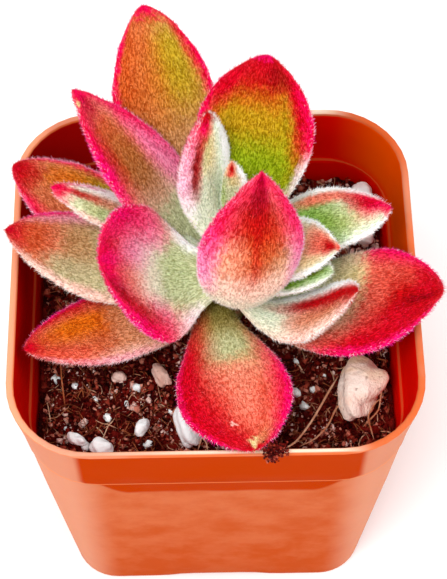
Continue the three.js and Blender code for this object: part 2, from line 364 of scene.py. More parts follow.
def spot_group() -> bpy.types.NodeTree:
    """Builds the reader of a point's place on its leaf.

    Returns:
        A group that gives the place across and along the blade, frayed as down frays a colour's edge.
    """
    frays = ((1500.0, 1.0, 0.09, 0.04), (160.0, 2.0, 0.08, 0.035))
    group = Group("leaf_spot_place", {}, {"Across": "Float", "Along": "Float"})
    n = group.nodes
    where = n.place()
    across, along, _ = n.split(n.attribute("leaf_spot", "Vector"))
    for scale, detail, by_across, by_along in frays:
        x, y, _ = n.split(n.noise(where, scale, detail, 0.5, output="Color"))
        across = n.math("ADD", across, n.math("MULTIPLY_ADD", x, by_across * 2, -by_across))
        along = n.math("ADD", along, n.math("MULTIPLY_ADD", y, by_along * 2, -by_along))
    return group.give(Across=across, Along=along)


def stroke_group() -> bpy.types.NodeTree:
    """Builds one soft dab of colour on a leaf.

    Returns:
        A group that lays a tint over a colour inside a rounded patch of the blade.
    """
    roundness = 2.6
    full, gone = 0.3, 1.55
    numbers = ("Across", "Along", "At across", "At along", "Half width", "Half length", "Strength")
    group = Group("leaf_stroke", {"Color": "Color", "Tint": "Color"} | dict.fromkeys(numbers, "Float"),
                  {"Color": "Color"})
    n, given = group.nodes, group.inputs
    powers = []
    for value, centre, half in (("Across", "At across", "Half width"), ("Along", "At along", "Half length")):
        apart = n.math("SUBTRACT", given[value], given[centre])
        out = n.math("ABSOLUTE", n.math("DIVIDE", apart, given[half]))
        powers.append(n.math("POWER", out, roundness))
    reach = n.math("POWER", n.math("ADD", *powers), 1 / roundness)
    mask = n.times(n.fit(reach, full, gone, 1.0, 0.0), given["Strength"])
    return group.give(Color=n.mix(mask, given["Color"], given["Tint"]))


SPECKLE = speckle_group()
SPOT = spot_group()
STROKE = stroke_group()


def new_material(name: str) -> tuple[bpy.types.Material, Nodes, bpy.types.Node]:
    """Makes an empty material.

    Args:
        name: The material's name.

    Returns:
        The material, its nodes, and its Principled shader.
    """
    material = bpy.data.materials.new(name)
    material.use_nodes = True
    nodes = Nodes(material.node_tree)
    return material, nodes, material.node_tree.nodes["Principled BSDF"]


def set_constants(shader: bpy.types.Node, **values: float | tuple) -> None:
    """Sets a shader's plain inputs.

    Args:
        shader: The Principled shader.
        **values: A constant for each input, whose name has low lines for its spaces.
    """
    for name, value in values.items():
        shader.inputs[name.replace("_", " ")].default_value = value


def bumped(n: Nodes, shader: bpy.types.Node, height: Feed, depth: float, strength: float) -> None:
    """Gives a shader a bump.

    Args:
        n: The material's nodes.
        shader: Its Principled shader.
        height: The relief, from 0 to 1.
        depth: How deep it is, in millimetres.
        strength: How much of it shows.
    """
    bump = n.add("Bump", {"Strength": strength, "Distance": depth * MM, "Height": height})
    n.feed(shader.inputs["Normal"], bump.outputs[0])


# Finishes


@dataclass(frozen=True)
class Stroke:
    """A soft dab of colour on a leaf.

    Across runs from -1 to 1, where left of the tip is positive, and along from 0 to 1.
    """

    tint: Tint
    across: float
    along: float
    half_width: float
    half_length: float
    strength: float = 1.0


@dataclass(frozen=True)
class LeafPaint:
    """How one leaf is coloured: a ground, and dabs over it in order."""

    ground: Tint
    strokes: tuple[Stroke, ...]

    def tree(self, name: str) -> bpy.types.NodeTree:
        """Builds the leaf's own paint.

        Args:
            name: The leaf's name.

        Returns:
            A group that gives the colour at a point of the blade.
        """
        group = Group("paint_" + name, {}, {"Color": "Color"})
        n = group.nodes
        spot = n.group(SPOT)
        colour: Feed = self.ground.value
        for dab in self.strokes:
            colour = n.group(STROKE, {
                "Color": colour, "Tint": dab.tint.value, "Across": spot["Across"], "Along": spot["Along"],
                "At across": dab.across, "At along": dab.along, "Half width": dab.half_width,
                "Half length": dab.half_length, "Strength": dab.strength,
            })[0]
        return group.give(Color=colour)


@dataclass(frozen=True)
class BladeFinish:
    """The fleshy, downy skin of a leaf, with strands of down: painted shade deepens it between them, and it
    is paler on them, partly the down's own paleness and partly painted light.
    """

    roughness: float = 0.65
    flesh: float = 0.12
    flesh_reach: Place = (1.0, 0.4, 0.25)
    flesh_depth: float = 1.2
    sheen: float = 0.05
    sheen_tint: Colour = (1.0, 0.82, 0.86, 1.0)
    sheen_roughness: float = 0.25
    mirror: float = 0.04
    deepest: float = 1.44
    palest: float = 0.94
    strand_width: float = 0.25
    strand_length: float = 0.6
    strand_layers: float = 3.0
    strand_cloud: Cloud = (1.0, 1.0, 0.5, 0.6)
    strand_mask: Span = (0.36, 0.64)
    strand_shade: Span = (0.73, 1.16)
    grain_scale: float = 420.0
    grain_shade: Span = (0.94, 1.1)
    strand_relief: float = 0.7
    relief: float = 0.12
    relief_shown: float = 0.6

    def material(self, name: str, paint: bpy.types.NodeTree, half_width: float,
                 length: float) -> bpy.types.Material:
        """Builds the skin's material.

        Args:
            name: The leaf's name.
            paint: The leaf's own paint.
            half_width: Half of the leaf's width, in millimetres.
            length: The leaf's length, in millimetres.

        Returns:
            The material.
        """
        material, n, shader = new_material(name + "_skin")
        _, fine = n.speckle(self.grain_scale)
        rows = n.add("Mapping", {
            0: n.attribute("leaf_spot", "Vector"),
            "Scale": (half_width / self.strand_width, length / self.strand_length, self.strand_layers),
        })
        # The strands stand in for the down: painted shade in the gaps between hairs, and paler where hairs
        # catch light.
        strands = n.fit(n.noise(rows.outputs[0], *self.strand_cloud), *self.strand_mask)
        depth = n.fit(strands, 0.0, 1.0, self.deepest, self.palest, smooth=False)
        shade = n.times(n.fit(fine, 0.0, 1.0, *self.grain_shade, smooth=False),
                        n.fit(strands, 0.0, 1.0, *self.strand_shade, smooth=False))
        n.feed(shader.inputs["Base Color"], n.shaded(n.deepened(n.group(paint)[0], depth), shade))
        set_constants(
            shader, Roughness=self.roughness, Subsurface_Weight=self.flesh,
            Subsurface_Radius=self.flesh_reach, Subsurface_Scale=self.flesh_depth * MM,
            Sheen_Weight=self.sheen, Sheen_Tint=self.sheen_tint, Sheen_Roughness=self.sheen_roughness,
            Specular_IOR_Level=self.mirror,
        )
        bumped(n, shader, n.math("MULTIPLY_ADD", strands, self.strand_relief, fine), self.relief,
               self.relief_shown)
        return material


@dataclass(frozen=True)
class FuzzFinish:
    """The short pale hairs of a leaf, which take some of its colour. A hair's shade goes from 0 to 1."""

    deepest: float = 1.3
    palest: float = 0.75
    darkest: float = 0.82
    lightest: float = 1.75
    light_from: float = 0.8
    white: float = 0.6
    white_from: float = 0.75
    roughness: float = 0.8
    mirror: float = 0.02
    glow: float = 0.4
    glow_reach: Place = (1.0, 0.9, 0.9)
    glow_depth: float = 0.15

    def material(self, name: str, paint: bpy.types.NodeTree) -> bpy.types.Material:
        """Builds the hairs' material.

        Args:
            name: The leaf's name.
            paint: The leaf's own paint.

        Returns:
            The material.
        """
        material, n, shader = new_material(name + "_down")
        hair = n.attribute("hair_shade", "Fac")
        power = n.fit(hair, 0.0, self.light_from, self.deepest, self.palest, smooth=False)
        value = n.fit(hair, 0.0, self.light_from, self.darkest, self.lightest, smooth=False)
        colour = n.shaded(n.deepened(n.group(paint)[0], power), value)
        bleached = n.fit(hair, self.white_from, 1.0, 0.0, self.white)
        n.feed(shader.inputs["Base Color"], n.mix(bleached, colour, Tint.WHITE.value))
        set_constants(
            shader, Roughness=self.roughness, Specular_IOR_Level=self.mirror, Subsurface_Weight=self.glow,
            Subsurface_Radius=self.glow_reach, Subsurface_Scale=self.glow_depth * MM,
        )
        return material


@dataclass(frozen=True)
class PlasticFinish:
    """The pot's orange plastic, mottled, with painted shade, reflection, highlights and glow on it.

    A ramp gives two places in millimetres along an axis of the pot, and the shares at them. A cloud
    gives its features a metre, its finer layers and how strong they are.
    """

    # deep: the colour of the collar's darker band, which is painted shade and dim reflection.
    deep: str = "ae3400"
    body: str = "b4481a"
    pale_mottle: str = "c2643e"
    # corner: a paler colour at the corners, a painted reflection of the pale surroundings; the rim's worn
    # speckle uses it too.
    corner: str = "d08c70"
    # edge: the colour of a thin painted highlight along the collar's lower edge.
    edge: str = "dc8050"
    # inside, dusk and glow: the inner walls' deeper red and their dusk are painted shade, and the glow is
    # painted light.
    inside: str = "d80800"
    dusk: str = "980604"
    glow: str = "d84800"
    rim: str = "d06434"
    sill: str = "f08858"
    # shine: the colour of the painted highlight along the front of the rim.
    shine: str = "fff0d8"
    grain_scale: float = 70.0
    cloud: Cloud = (150.0, 5.0, 0.62)
    cloud_stretch: Place = (1.0, 1.0, 1.2)
    cloud_mask: Span = (0.28, 0.72)
    cloud_share: float = 0.75
    # The body turns paler towards the top and stays deeper at the foot.
    paler_by_height: Ramp = (4, 38, -0.15, 0.35)
    foot: Ramp = (2, 10, 0.35, 0)
    corners: Ramp = (15, 21, 0, 0.85)
    band_foot: Ramp = (12.5, 19, 37 * MM, 41.8 * MM)
    band_ends: Ramp = (18.4, 19.6, 1, 0.1)
    band_cloud: Cloud = (110.0, 2.0)
    band_wave: float = 1.5
    middle: float = 0.5
    line: tuple[Ramp, Ramp] = ((42.3, 42.5, 0, 1), (42.9, 43.2, 1, 0))
    line_share: float = 0.7
    glow_right: Ramp = (17, 25, 0, 1)
    glow_back: Ramp = (-8, 8, 0, 1)
    glow_above: Ramp = (43, 46, 0, 1)
    dusk_left: Ramp = (-16, 4, 1, 0)
    dusk_back: Ramp = (8, 18, 0, 1)
    dusk_wall: Ramp = (-25.5, -22.5, 0.55, 0)
    # ledge: where a painted highlight runs along the top of the inner ledge.
    ledge: tuple[Ramp, Ramp] = ((44.0, 44.1, 0, 1), (44.2, 44.35, 1, 0))
    ledge_share: float = 0.5
    rim_above: Ramp = (52.9, 53.15, 0, 1)
    rim_worn: float = 0.6
    rim_back: Ramp = (12, 24, 0, 0.5)
    rim_left: Ramp = (-25.5, -22, 0.8, 0)
    shine_left: Ramp = (-20, 4, 0.15, 0.75)
    shine_right: Ramp = (15, 21, 1, 0)
    shine_lip: Ramp = (-27.85, -27.55, 0, 1)
    shine_above: Ramp = (53.2, 53.35, 0, 1)
    roughness: Span = (0.3, 0.5)
    depth: float = 0.15
    depth_reach: Place = (1.0, 0.3, 0.1)
    depth_scale: float = 2.0
    ior: float = 1.03
    mirror: float = 0.2
    relief: float = 0.12
    relief_shown: float = 0.5

    def outer(self, n: Nodes, where: Feed, x: Feed, y: Feed, z: Feed) -> Feed:
        """Colours the pot's outside.

        Args:
            n: The material's nodes.
            where: The point's place.
            x: Its place from left to right.
            y: Its place from front to back.
            z: Its height.

        Returns:
            The colour.
        """
        aside = n.math("ABSOLUTE", n.math("SUBTRACT", x, self.middle * MM))
        side = n.math("MINIMUM", aside, n.math("ABSOLUTE", y))
        stretched = n.add("Mapping", {0: where, "Scale": self.cloud_stretch}).outputs[0]
        cloud = n.fit(n.noise(stretched, *self.cloud), *self.cloud_mask)
        pale_mottle = n.math("MULTIPLY_ADD", cloud, self.cloud_share, n.ease(z, self.paler_by_height), clamp=True)
        colour = n.mix(pale_mottle, self.body, self.pale_mottle)
        colour = n.mix(n.ease(z, self.foot), colour, self.body)
        # The rounded corners turn paler: a painted reflection.
        colour = n.mix(n.ease(side, self.corners), colour, self.corner)
        # The collar's darker band is painted shade and reflection, down to a wavy foot and fading at the
        # corners.
        foot = n.ease(side, self.band_foot)
        foot = n.math("MULTIPLY_ADD", n.noise(where, *self.band_cloud), self.band_wave * MM, foot)
        above = n.ease(n.math("SUBTRACT", z, foot), (0, 1, 0, 1))
        colour = n.mix(n.times(above, n.ease(side, self.band_ends)), colour, self.deep)
        # A thin painted highlight along the collar's lower edge.
        line = n.times(*(n.ease(z, ramp) for ramp in self.line), self.line_share)
        return n.mix(line, colour, self.edge)

    def inner(self, n: Nodes, x: Feed, y: Feed, z: Feed) -> Feed:
        """Colours the pot's inside: a deeper red as painted shade, a painted glow at the right, painted dusk
        at the left.

        Args:
            n: The material's nodes.
            x: The point's place from left to right.
            y: Its place from front to back.
            z: Its height.

        Returns:
            The colour.
        """
        # Painted glow at the back right above the ledge; painted dusk at the back left and on the left wall.
        lit = n.times(n.ease(x, self.glow_right), n.ease(y, self.glow_back), n.ease(z, self.glow_above))
        colour = n.mix(lit, self.inside, self.glow)
        dusk = n.times(n.ease(x, self.dusk_left), n.ease(y, self.dusk_back))
        colour = n.mix(n.math("MAXIMUM", dusk, n.ease(x, self.dusk_wall)), colour, self.dusk)
        # A painted highlight along the top of the inner ledge.
        ledge = n.times(*(n.ease(z, ramp) for ramp in self.ledge), self.ledge_share)
        return n.mix(ledge, colour, self.rim)

    def top(self, n: Nodes, x: Feed, y: Feed, z: Feed, wear: Feed) -> Feed:
        """Colours the rim, with a painted highlight along its front.

        Args:
            n: The material's nodes.
            x: The point's place from left to right.
            y: Its place from front to back.
            z: Its height.
            wear: How worn it is there.

        Returns:
            The colour.
        """
        colour = n.mix(n.times(wear, self.rim_worn), self.rim, self.corner)
        colour = n.mix(n.ease(y, self.rim_back), colour, self.body)
        colour = n.mix(n.ease(x, self.rim_left), colour, self.sill)
        # The painted highlight along the front of the rim's top.
        shine = n.times(n.ease(x, self.shine_left), n.ease(x, self.shine_right), n.ease(y, self.shine_lip),
                        n.ease(z, self.shine_above))
        return n.mix(shine, colour, self.shine)

    def material(self) -> bpy.types.Material:
        """Builds the plastic's material.

        Returns:
            The material.
        """
        material, n, shader = new_material("orange_plastic")
        where = n.place()
        x, y, z = n.split(where)
        coarse, _ = n.speckle(self.grain_scale)
        inward = n.attribute("inner", "Fac")
        colour = n.mix(inward, self.outer(n, where, x, y, z), self.inner(n, x, y, z))
        colour = n.mix(n.ease(z, self.rim_above), colour, self.top(n, x, y, z, coarse))
        n.feed(shader.inputs["Base Color"], colour)
        n.feed(shader.inputs["Roughness"], n.fit(coarse, 0.0, 1.0, *self.roughness))
        set_constants(
            shader, Subsurface_Weight=self.depth, Subsurface_Radius=self.depth_reach,
            Subsurface_Scale=self.depth_scale * MM, IOR=self.ior, Specular_IOR_Level=self.mirror,
        )
        bumped(n, shader, coarse, self.relief, self.relief_shown)
        return material


@dataclass(frozen=True)
class EarthFinish:
    """Damp peat or bark, coloured by how light each bit of it is."""

    name: str
    stops: tuple[tuple[float, str], ...]
    shade: str | None = None
    roughness: Span = (0.55, 0.95)
    grain_scale: float = 520.0
    grain_share: float = 0.2
    mirror: float = 0.08
    relief: float = 0.15
    relief_shown: float = 0.8

    def material(self) -> bpy.types.Material:
        """Builds the earth's material.

        Returns:
            The material.
        """
        material, n, shader = new_material(self.name)
        value, fine = n.speckle(self.grain_scale)
        if self.shade:
            bits = n.attribute(self.shade, "Fac")
            value = n.math("MULTIPLY_ADD", value, self.grain_share, bits, clamp=True)
            value = n.math("SUBTRACT", value, self.grain_share / 2, clamp=True)
        n.feed(shader.inputs["Base Color"], n.ramp(value, *self.stops))
        n.feed(shader.inputs["Roughness"], n.fit(fine, 0.0, 1.0, *self.roughness))
        set_constants(shader, Specular_IOR_Level=self.mirror)
        bumped(n, shader, fine, self.relief, self.relief_shown)
        return material


@dataclass(frozen=True)
class StoneFinish:
    """Pale pumice or perlite, with darker pits and a little stain.

    A cloud gives its features a metre, its finer layers, how strong they are and how far it is swirled.
    """

    name: str
    pale: str
    dark: str
    stain: str
    stained: float = 0.5
    relief_shown: float = 0.7
    pit: str = "8a6a58"
    pit_cloud: Cloud = (900.0, 2.0, 0.5)
    pit_mask: Span = (0.66, 0.74)
    pit_share: float = 0.55
    pit_depth: float = 1.5
    dark_cloud: Cloud = (260.0, 3.0, 0.6)
    dark_mask: Span = (0.35, 0.65)
    stain_cloud: Cloud = (180.0, 2.0, 0.5, 0.8)
    stain_mask: Span = (0.5, 0.68)
    roughness: Span = (0.8, 0.95)
    grain_scale: float = 380.0
    relief: float = 0.12

    def material(self) -> bpy.types.Material:
        """Builds the stone's material.

        Returns:
            The material.
        """
        material, n, shader = new_material(self.name)
        where = n.place()
        coarse, fine = n.speckle(self.grain_scale)
        colour = n.mix(n.fit(n.noise(where, *self.dark_cloud), *self.dark_mask), self.pale, self.dark)
        spots = n.fit(n.noise(where, *self.stain_cloud), *self.stain_mask)
        colour = n.mix(n.times(spots, self.stained), colour, self.stain)
        pit = n.fit(n.noise(where, *self.pit_cloud), *self.pit_mask)
        n.feed(shader.inputs["Base Color"], n.mix(n.times(pit, self.pit_share), colour, self.pit))
        n.feed(shader.inputs["Roughness"], n.fit(coarse, 0.0, 1.0, *self.roughness))
        height = n.math("SUBTRACT", fine, n.times(pit, self.pit_depth))
        bumped(n, shader, height, self.relief, self.relief_shown)
        return material


# Modelling


def clear_selection() -> None:
    """Leaves edit mode and deselects everything, so that an operator acts on new work alone."""
    if bpy.context.object and bpy.context.object.mode != "OBJECT":
        bpy.ops.object.mode_set(mode="OBJECT")
    bpy.ops.object.select_all(action="DESELECT")


def pick(piece: bpy.types.Object) -> None:
    """Selects one piece alone, and makes it the active one.

    Args:
        piece: The piece.
    """
    clear_selection()
    piece.select_set(True)
    bpy.context.view_layer.objects.active = piece


def named(name: str) -> bpy.types.Object:
    """Names the primitive that was just added, and its mesh.

    Args:
        name: The piece's name.

    Returns:
        The piece.
    """
    piece = bpy.context.object
    piece.name = piece.data.name = name
    return piece


def ball(steps: int, radius: float = 1.0) -> bpy.types.Object:
    """Adds a ball of triangles.

    Args:
        steps: How finely it is divided.
        radius: Its radius, in metres.

    Returns:
        The ball.
    """
    clear_selection()
    bpy.ops.mesh.primitive_ico_sphere_add(subdivisions=steps, radius=radius)
    return bpy.context.object


def edit_all(piece: bpy.types.Object) -> None:
    """Goes into edit mode on a piece, with all of it selected.

    Args:
        piece: The piece.
    """
    pick(piece)
    bpy.ops.object.mode_set(mode="EDIT")
    bpy.ops.mesh.select_all(action="SELECT")


def close_edit() -> None:
    """Turns all faces outwards and leaves edit mode."""
    bpy.ops.mesh.select_all(action="SELECT")
    bpy.ops.mesh.normals_make_consistent(inside=False)
    bpy.ops.object.mode_set(mode="OBJECT")


def unit(vectors: np.ndarray) -> np.ndarray:
    """The vectors, each with a length of 1."""
    return vectors / np.linalg.norm(vectors, axis=-1, keepdims=True)


def rows(items: bpy.types.bpy_prop_collection, name: str) -> np.ndarray:
    """Reads a vector from each of a mesh's items.

    Args:
        items: The vertices, or an attribute's data.
        name: Which of their vectors is read.

    Returns:
        A row for each item.
    """
    flat = np.empty(len(items) * 3, np.float32)
    items.foreach_get(name, flat)
    return flat.reshape(-1, 3).astype(float)


def points_of(piece: bpy.types.Object) -> np.ndarray:
    """The piece's vertices, a row each."""
    return rows(piece.data.vertices, "co")


def set_points(piece: bpy.types.Object, points: np.ndarray) -> None:
    """Moves the piece's vertices to the given rows."""
    piece.data.vertices.foreach_set("co", points.astype(np.float32).ravel())
    piece.data.update()


def set_attribute(piece: bpy.types.Object, name: str, values: np.ndarray) -> None:
    """Stores a value or a vector at each vertex.

    Args:
        piece: The piece.
        name: The attribute's name.
        values: One number or three for each vertex.
    """
    flat = values.ndim == 1
    spot = piece.data.attributes.new(name, "FLOAT" if flat else "FLOAT_VECTOR", "POINT")
    spot.data.foreach_set("value" if flat else "vector", values.astype(np.float32).ravel())


def apply_modifier(piece: bpy.types.Object, kind: str, **settings: object) -> None:
    """Adds a modifier to a piece and applies it.

    Args:
        piece: The piece.
        kind: The modifier's type.
        **settings: Its properties.
    """
    pick(piece)
    modifier = piece.modifiers.new(kind.lower(), kind)
    for name, value in settings.items():
        setattr(modifier, name, value)
    bpy.ops.object.modifier_apply(modifier=modifier.name)


def roughen(piece: bpy.types.Object, size: float, depth: float, layers: int = 2,
            direction: str = "NORMAL") -> None:
    """Dents a piece with a cloudy relief.

    Args:
        piece: The piece.
        size: How wide the dents are, in millimetres.
        depth: How deep they are, in millimetres.
        layers: How many finer layers lie over the first.
        direction: Which way the surface moves.
    """
    clouds = bpy.data.textures.new(piece.name + "_relief", "CLOUDS")
    clouds.noise_scale, clouds.noise_depth = size * MM, layers
    apply_modifier(piece, "DISPLACE", texture=clouds, texture_coords="LOCAL", strength=depth * MM,
                   mid_level=0.5, direction=direction)


def smooth(piece: bpy.types.Object, angle: float = 180.0) -> None:
    """Shades a piece smooth.

    Args:
        piece: The piece.
        angle: Edges that turn by more than this many degrees stay sharp.
    """
    pick(piece)
    if angle < 180:
        bpy.ops.object.shade_smooth_by_angle(angle=math.radians(angle))
    else:
        bpy.ops.object.shade_smooth()


def mesh_piece(name: str, points: np.ndarray, faces: np.ndarray) -> bpy.types.Object:
    """Makes a piece from rows of points and of faces.

    Args:
        name: The piece's name.
        points: Its vertices.
        faces: The vertices of each face, all with the same number of corners.

    Returns:
        The piece.
    """
    mesh = bpy.data.meshes.new(name)
    corners = faces.shape[1]
    mesh.vertices.add(len(points))
    mesh.vertices.foreach_set("co", points.astype(np.float32).ravel())
    mesh.loops.add(faces.size)
    mesh.loops.foreach_set("vertex_index", faces.astype(np.int32).ravel())
    mesh.polygons.add(len(faces))
    mesh.polygons.foreach_set("loop_start", np.arange(len(faces), dtype=np.int32) * corners)
    mesh.update(calc_edges=True)
    mesh.validate()
    piece = bpy.data.objects.new(name, mesh)
    bpy.context.scene.collection.objects.link(piece)
    return piece


def triangles_of(piece: bpy.types.Object) -> np.ndarray:
    """Reads a piece's triangles.

    Args:
        piece: The piece.

    Returns:
        The three vertices of each, a row each.
    """
    piece.data.calc_loop_triangles()
    flat = np.empty(len(piece.data.loop_triangles) * 3, np.int32)
    piece.data.loop_triangles.foreach_get("vertices", flat)
    return flat.reshape(-1, 3)


def turned(rng: np.random.Generator, count: int) -> np.ndarray:
    """Turns things at random.

    Args:
        rng: Where the chances come from.
        count: How many turns are wanted.

    Returns:
        A 3 by 3 matrix for each.
    """
    w, x, y, z = unit(rng.normal(size=(count, 4))).T
    return np.stack([
        np.stack([1 - 2 * (y * y + z * z), 2 * (x * y - z * w), 2 * (x * z + y * w)], 1),
        np.stack([2 * (x * y + z * w), 1 - 2 * (x * x + z * z), 2 * (y * z - x * w)], 1),
        np.stack([2 * (x * z - y * w), 2 * (y * z + x * w), 1 - 2 * (x * x + y * y)], 1),
    ], 1)


def repeated(name: str, pattern: bpy.types.Object, turns: np.ndarray, sizes: np.ndarray,
             places: np.ndarray) -> bpy.types.Object:
    """Copies a small shape many times into one piece, and removes the shape.

    Args:
        name: The new piece's name.
        pattern: The shape, with triangles alone.
        turns: A 3 by 3 turn for each copy.
        sizes: Three scales for each copy, along the shape's own axes.
        places: Where each copy goes.

    Returns:
        The piece, with its copies in order.
    """
    points, triangles = points_of(pattern), triangles_of(pattern)
    bpy.data.objects.remove(pattern)
    moved = np.einsum("nij,nvj->nvi", turns, points[None] * sizes[:, None]) + places[:, None]
    first = np.arange(len(places))[:, None, None] * len(points)
    return mesh_piece(name, moved.reshape(-1, 3), (triangles[None] + first).reshape(-1, 3))


def jitter(piece: bpy.types.Object, rng: np.random.Generator, sizes: np.ndarray, share: float) -> None:
    """Moves the corners of a piece's copies at random.

    Args:
        piece: The piece of many copies.
        rng: Where the chances come from.
        sizes: The size of each copy, in millimetres.
        share: How far a corner moves, as a share of its copy's size.
    """
    points = points_of(piece)
    reach = np.repeat(sizes, len(points) // len(sizes))[:, None] * share * MM
    set_points(piece, points + rng.normal(size=points.shape) * reach)


def put_in_place(piece: bpy.types.Object, material: bpy.types.Material, slot: Slot, *nodes: str) -> None:
    """Dresses a finished piece and ties it to the part.

    Args:
        piece: The piece, at the origin.
        material: Its material.
        slot: Not used.
        *nodes: The solids that it stands for.
    """
    piece.data.materials.clear()
    piece.data.materials.append(material)
    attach(piece, BODY)
    if nodes:
        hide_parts(*nodes)
    log.info("%s: %d faces", piece.name, len(piece.data.polygons))


# Leaves


@dataclass(frozen=True)
class Leaf:
    """One fleshy leaf: a blade from its seat on the stem to its tip, with its fuzz.

    Sizes are in millimetres and angles in degrees. Sag is how far the blade's middle hangs below the
    straight line, lean how far it stands to the left of it, and cup how far its margins rise. Widest
    is the place along it where it is widest, and taper how round its end is. Skew draws its left
    side forward. A heading turns its face away from the way that it points.
    """

    name: str
    slot: Slot
    seat: Place
    tip: Place
    width: float
    thick: float
    sag: float
    roll: float
    cup: float
    widest: float
    taper: float
    lean: float
    paint: LeafPaint
    heading: float | None = None
    skew: float = 0.0
    waist: float = 1.3
    neck: float = 0.34
    flat_seat: float = 0.75
    bend_early: float = 0.7
    around: int = 32
    lengthwise: int = 26
    crowding: float = 1.7
    dent_width: float = 3.5
    dent_depth: float = 0.35
    hairs_per_mm2: float = 26.0
    hairs_below: float = 0.7
    below: float = -0.25
    hair_length: float = 0.48
    hair_width: float = 0.082
    length_range: Span = (0.6, 1.35)
    width_range: Span = (0.7, 1.3)
    bald_seat: float = 0.04
    full_by: float = 0.1
    hair_spread: float = 0.4
    hair_rise: float = 0.55
    hair_to_tip: float = 0.7
    hair_sunk: float = 0.02
    # The margin hairs are whitened: partly the down's own paleness, partly painted rim light where the hairs
    # are seen edge-on, more so on pale leaves.
    edge_from: float = 0.9
    edge_white: float = 0.4
    pale_edge_white: float = 0.8
    shade_power: float = 1.4
    shade_reach: float = 0.72
    tip_shade: float = 0.12
    skylight: float = 0.6

    def frame(self) -> tuple[np.ndarray, np.ndarray, np.ndarray]:
        """Works out how the leaf lies.

        Returns:
            The ways along it, to its left and out of its face, each with a length of 1.
        """
        along = unit(np.array(self.tip) - np.array(self.seat))
        heading = math.atan2(along[1], along[0]) if self.heading is None else math.radians(self.heading)
        face = np.array([-math.cos(heading), -math.sin(heading), 1.0])
        face = unit(face - along * (face @ along))
        roll = math.radians(self.roll)
        face = face * math.cos(roll) + np.cross(along, face) * math.sin(roll)
        return along, np.cross(face, along), face

    def surface(self, turn: np.ndarray, share: np.ndarray) -> np.ndarray:
        """Points of the blade's skin.

        Args:
            turn: The angle round the blade, where a quarter turn is its upper face.
            share: The place along it, from 0 at the seat to 1 at the tip.

        Returns:
            A row for each point, in millimetres.
        """
        along, left, face = self.frame()
        length = math.dist(self.seat, self.tip)
        quarter = np.pi / 2
        rise = np.sin(quarter * np.minimum(share, self.widest) / self.widest) ** self.waist
        rise = self.neck + (1 - self.neck) * rise
        fall = np.maximum(np.cos(quarter * (share - self.widest) / (1 - self.widest)), 0) ** self.taper
        half = np.where(share < self.widest, rise, fall) * self.width / 2
        deep = self.flat_seat + (1 - self.flat_seat) * np.sin(np.pi * share)
        deep = deep * np.sqrt(np.maximum(1 - share**3, 0)) * self.thick / 2
        bend = np.sin(np.pi * share**self.bend_early)
        across, above = np.cos(turn) * half, np.sin(turn) * deep
        cupped = self.cup * across**2 / np.maximum(half, 1e-6)
        return (np.array(self.seat) + along * (share * length + self.skew * across)[:, None]
                + left * (across + self.lean * bend)[:, None]
                + face * (above + cupped - self.sag * bend)[:, None])

    def blade(self) -> bpy.types.Object:
        """Models the blade.

        Returns:
            The piece, with each point's place across and along the leaf in an attribute.
        """
        clear_selection()
        bpy.ops.mesh.primitive_uv_sphere_add(segments=self.around, ring_count=self.lengthwise, radius=1)
        piece = named(self.name + "_blade")
        x, y, z = points_of(piece).T
        ring = np.round(np.arccos(np.clip(-z, -1, 1)) / np.pi * self.lengthwise)
        share = 1 - (1 - np.maximum(ring - 1, 0) / (self.lengthwise - 1)) ** self.crowding
        turn = np.arctan2(y, x)
        points = self.surface(turn, share)
        seated = ring == 0
        points[seated] = np.array(self.seat)
        set_points(piece, points * MM)
        across = np.where(seated, 0, np.cos(turn))
        set_attribute(piece, "leaf_spot", np.stack([across, share, np.sin(turn)], 1))
        apply_modifier(piece, "SUBSURF", levels=1, render_levels=1)
        roughen(piece, self.dent_width, self.dent_depth, 1)
        smooth(piece)
        return piece

    def roots(self, blade: bpy.types.Object, rng: np.random.Generator) -> list[np.ndarray]:
        """Chooses where hairs grow, by area, with none at the seat and fewer below.

        Args:
            blade: The finished blade.
            rng: Where the chances come from.

        Returns:
            Each hair's root in metres, the skin's normal there, and its spot on the leaf.
        """
        points, triangles = points_of(blade), triangles_of(blade)
        spots = rows(blade.data.attributes["leaf_spot"].data, "vector")
        corner = points[triangles]
        area = np.linalg.norm(np.cross(corner[:, 1] - corner[:, 0], corner[:, 2] - corner[:, 0]), axis=1) / 2
        _, along, above = spots[triangles].mean(1).T
        wanted = area * np.clip((along - self.bald_seat) / self.full_by, 0, 1)
        wanted *= np.where(above < self.below, self.hairs_below, 1.0)
        count = int(wanted.sum() / MM**2 * self.hairs_per_mm2)
        drawn = np.searchsorted(np.cumsum(wanted) / wanted.sum(), rng.random(count))
        chosen = triangles[drawn.clip(0, len(area) - 1)]
        share = rng.random((count, 2))
        share = np.where(share.sum(1, keepdims=True) > 1, 1 - share, share)
        share = np.column_stack([1 - share.sum(1), share])[:, :, None]
        normals = rows(blade.data.vertices, "normal")
        return [(values[chosen] * share).sum(1) for values in (points, normals, spots)]

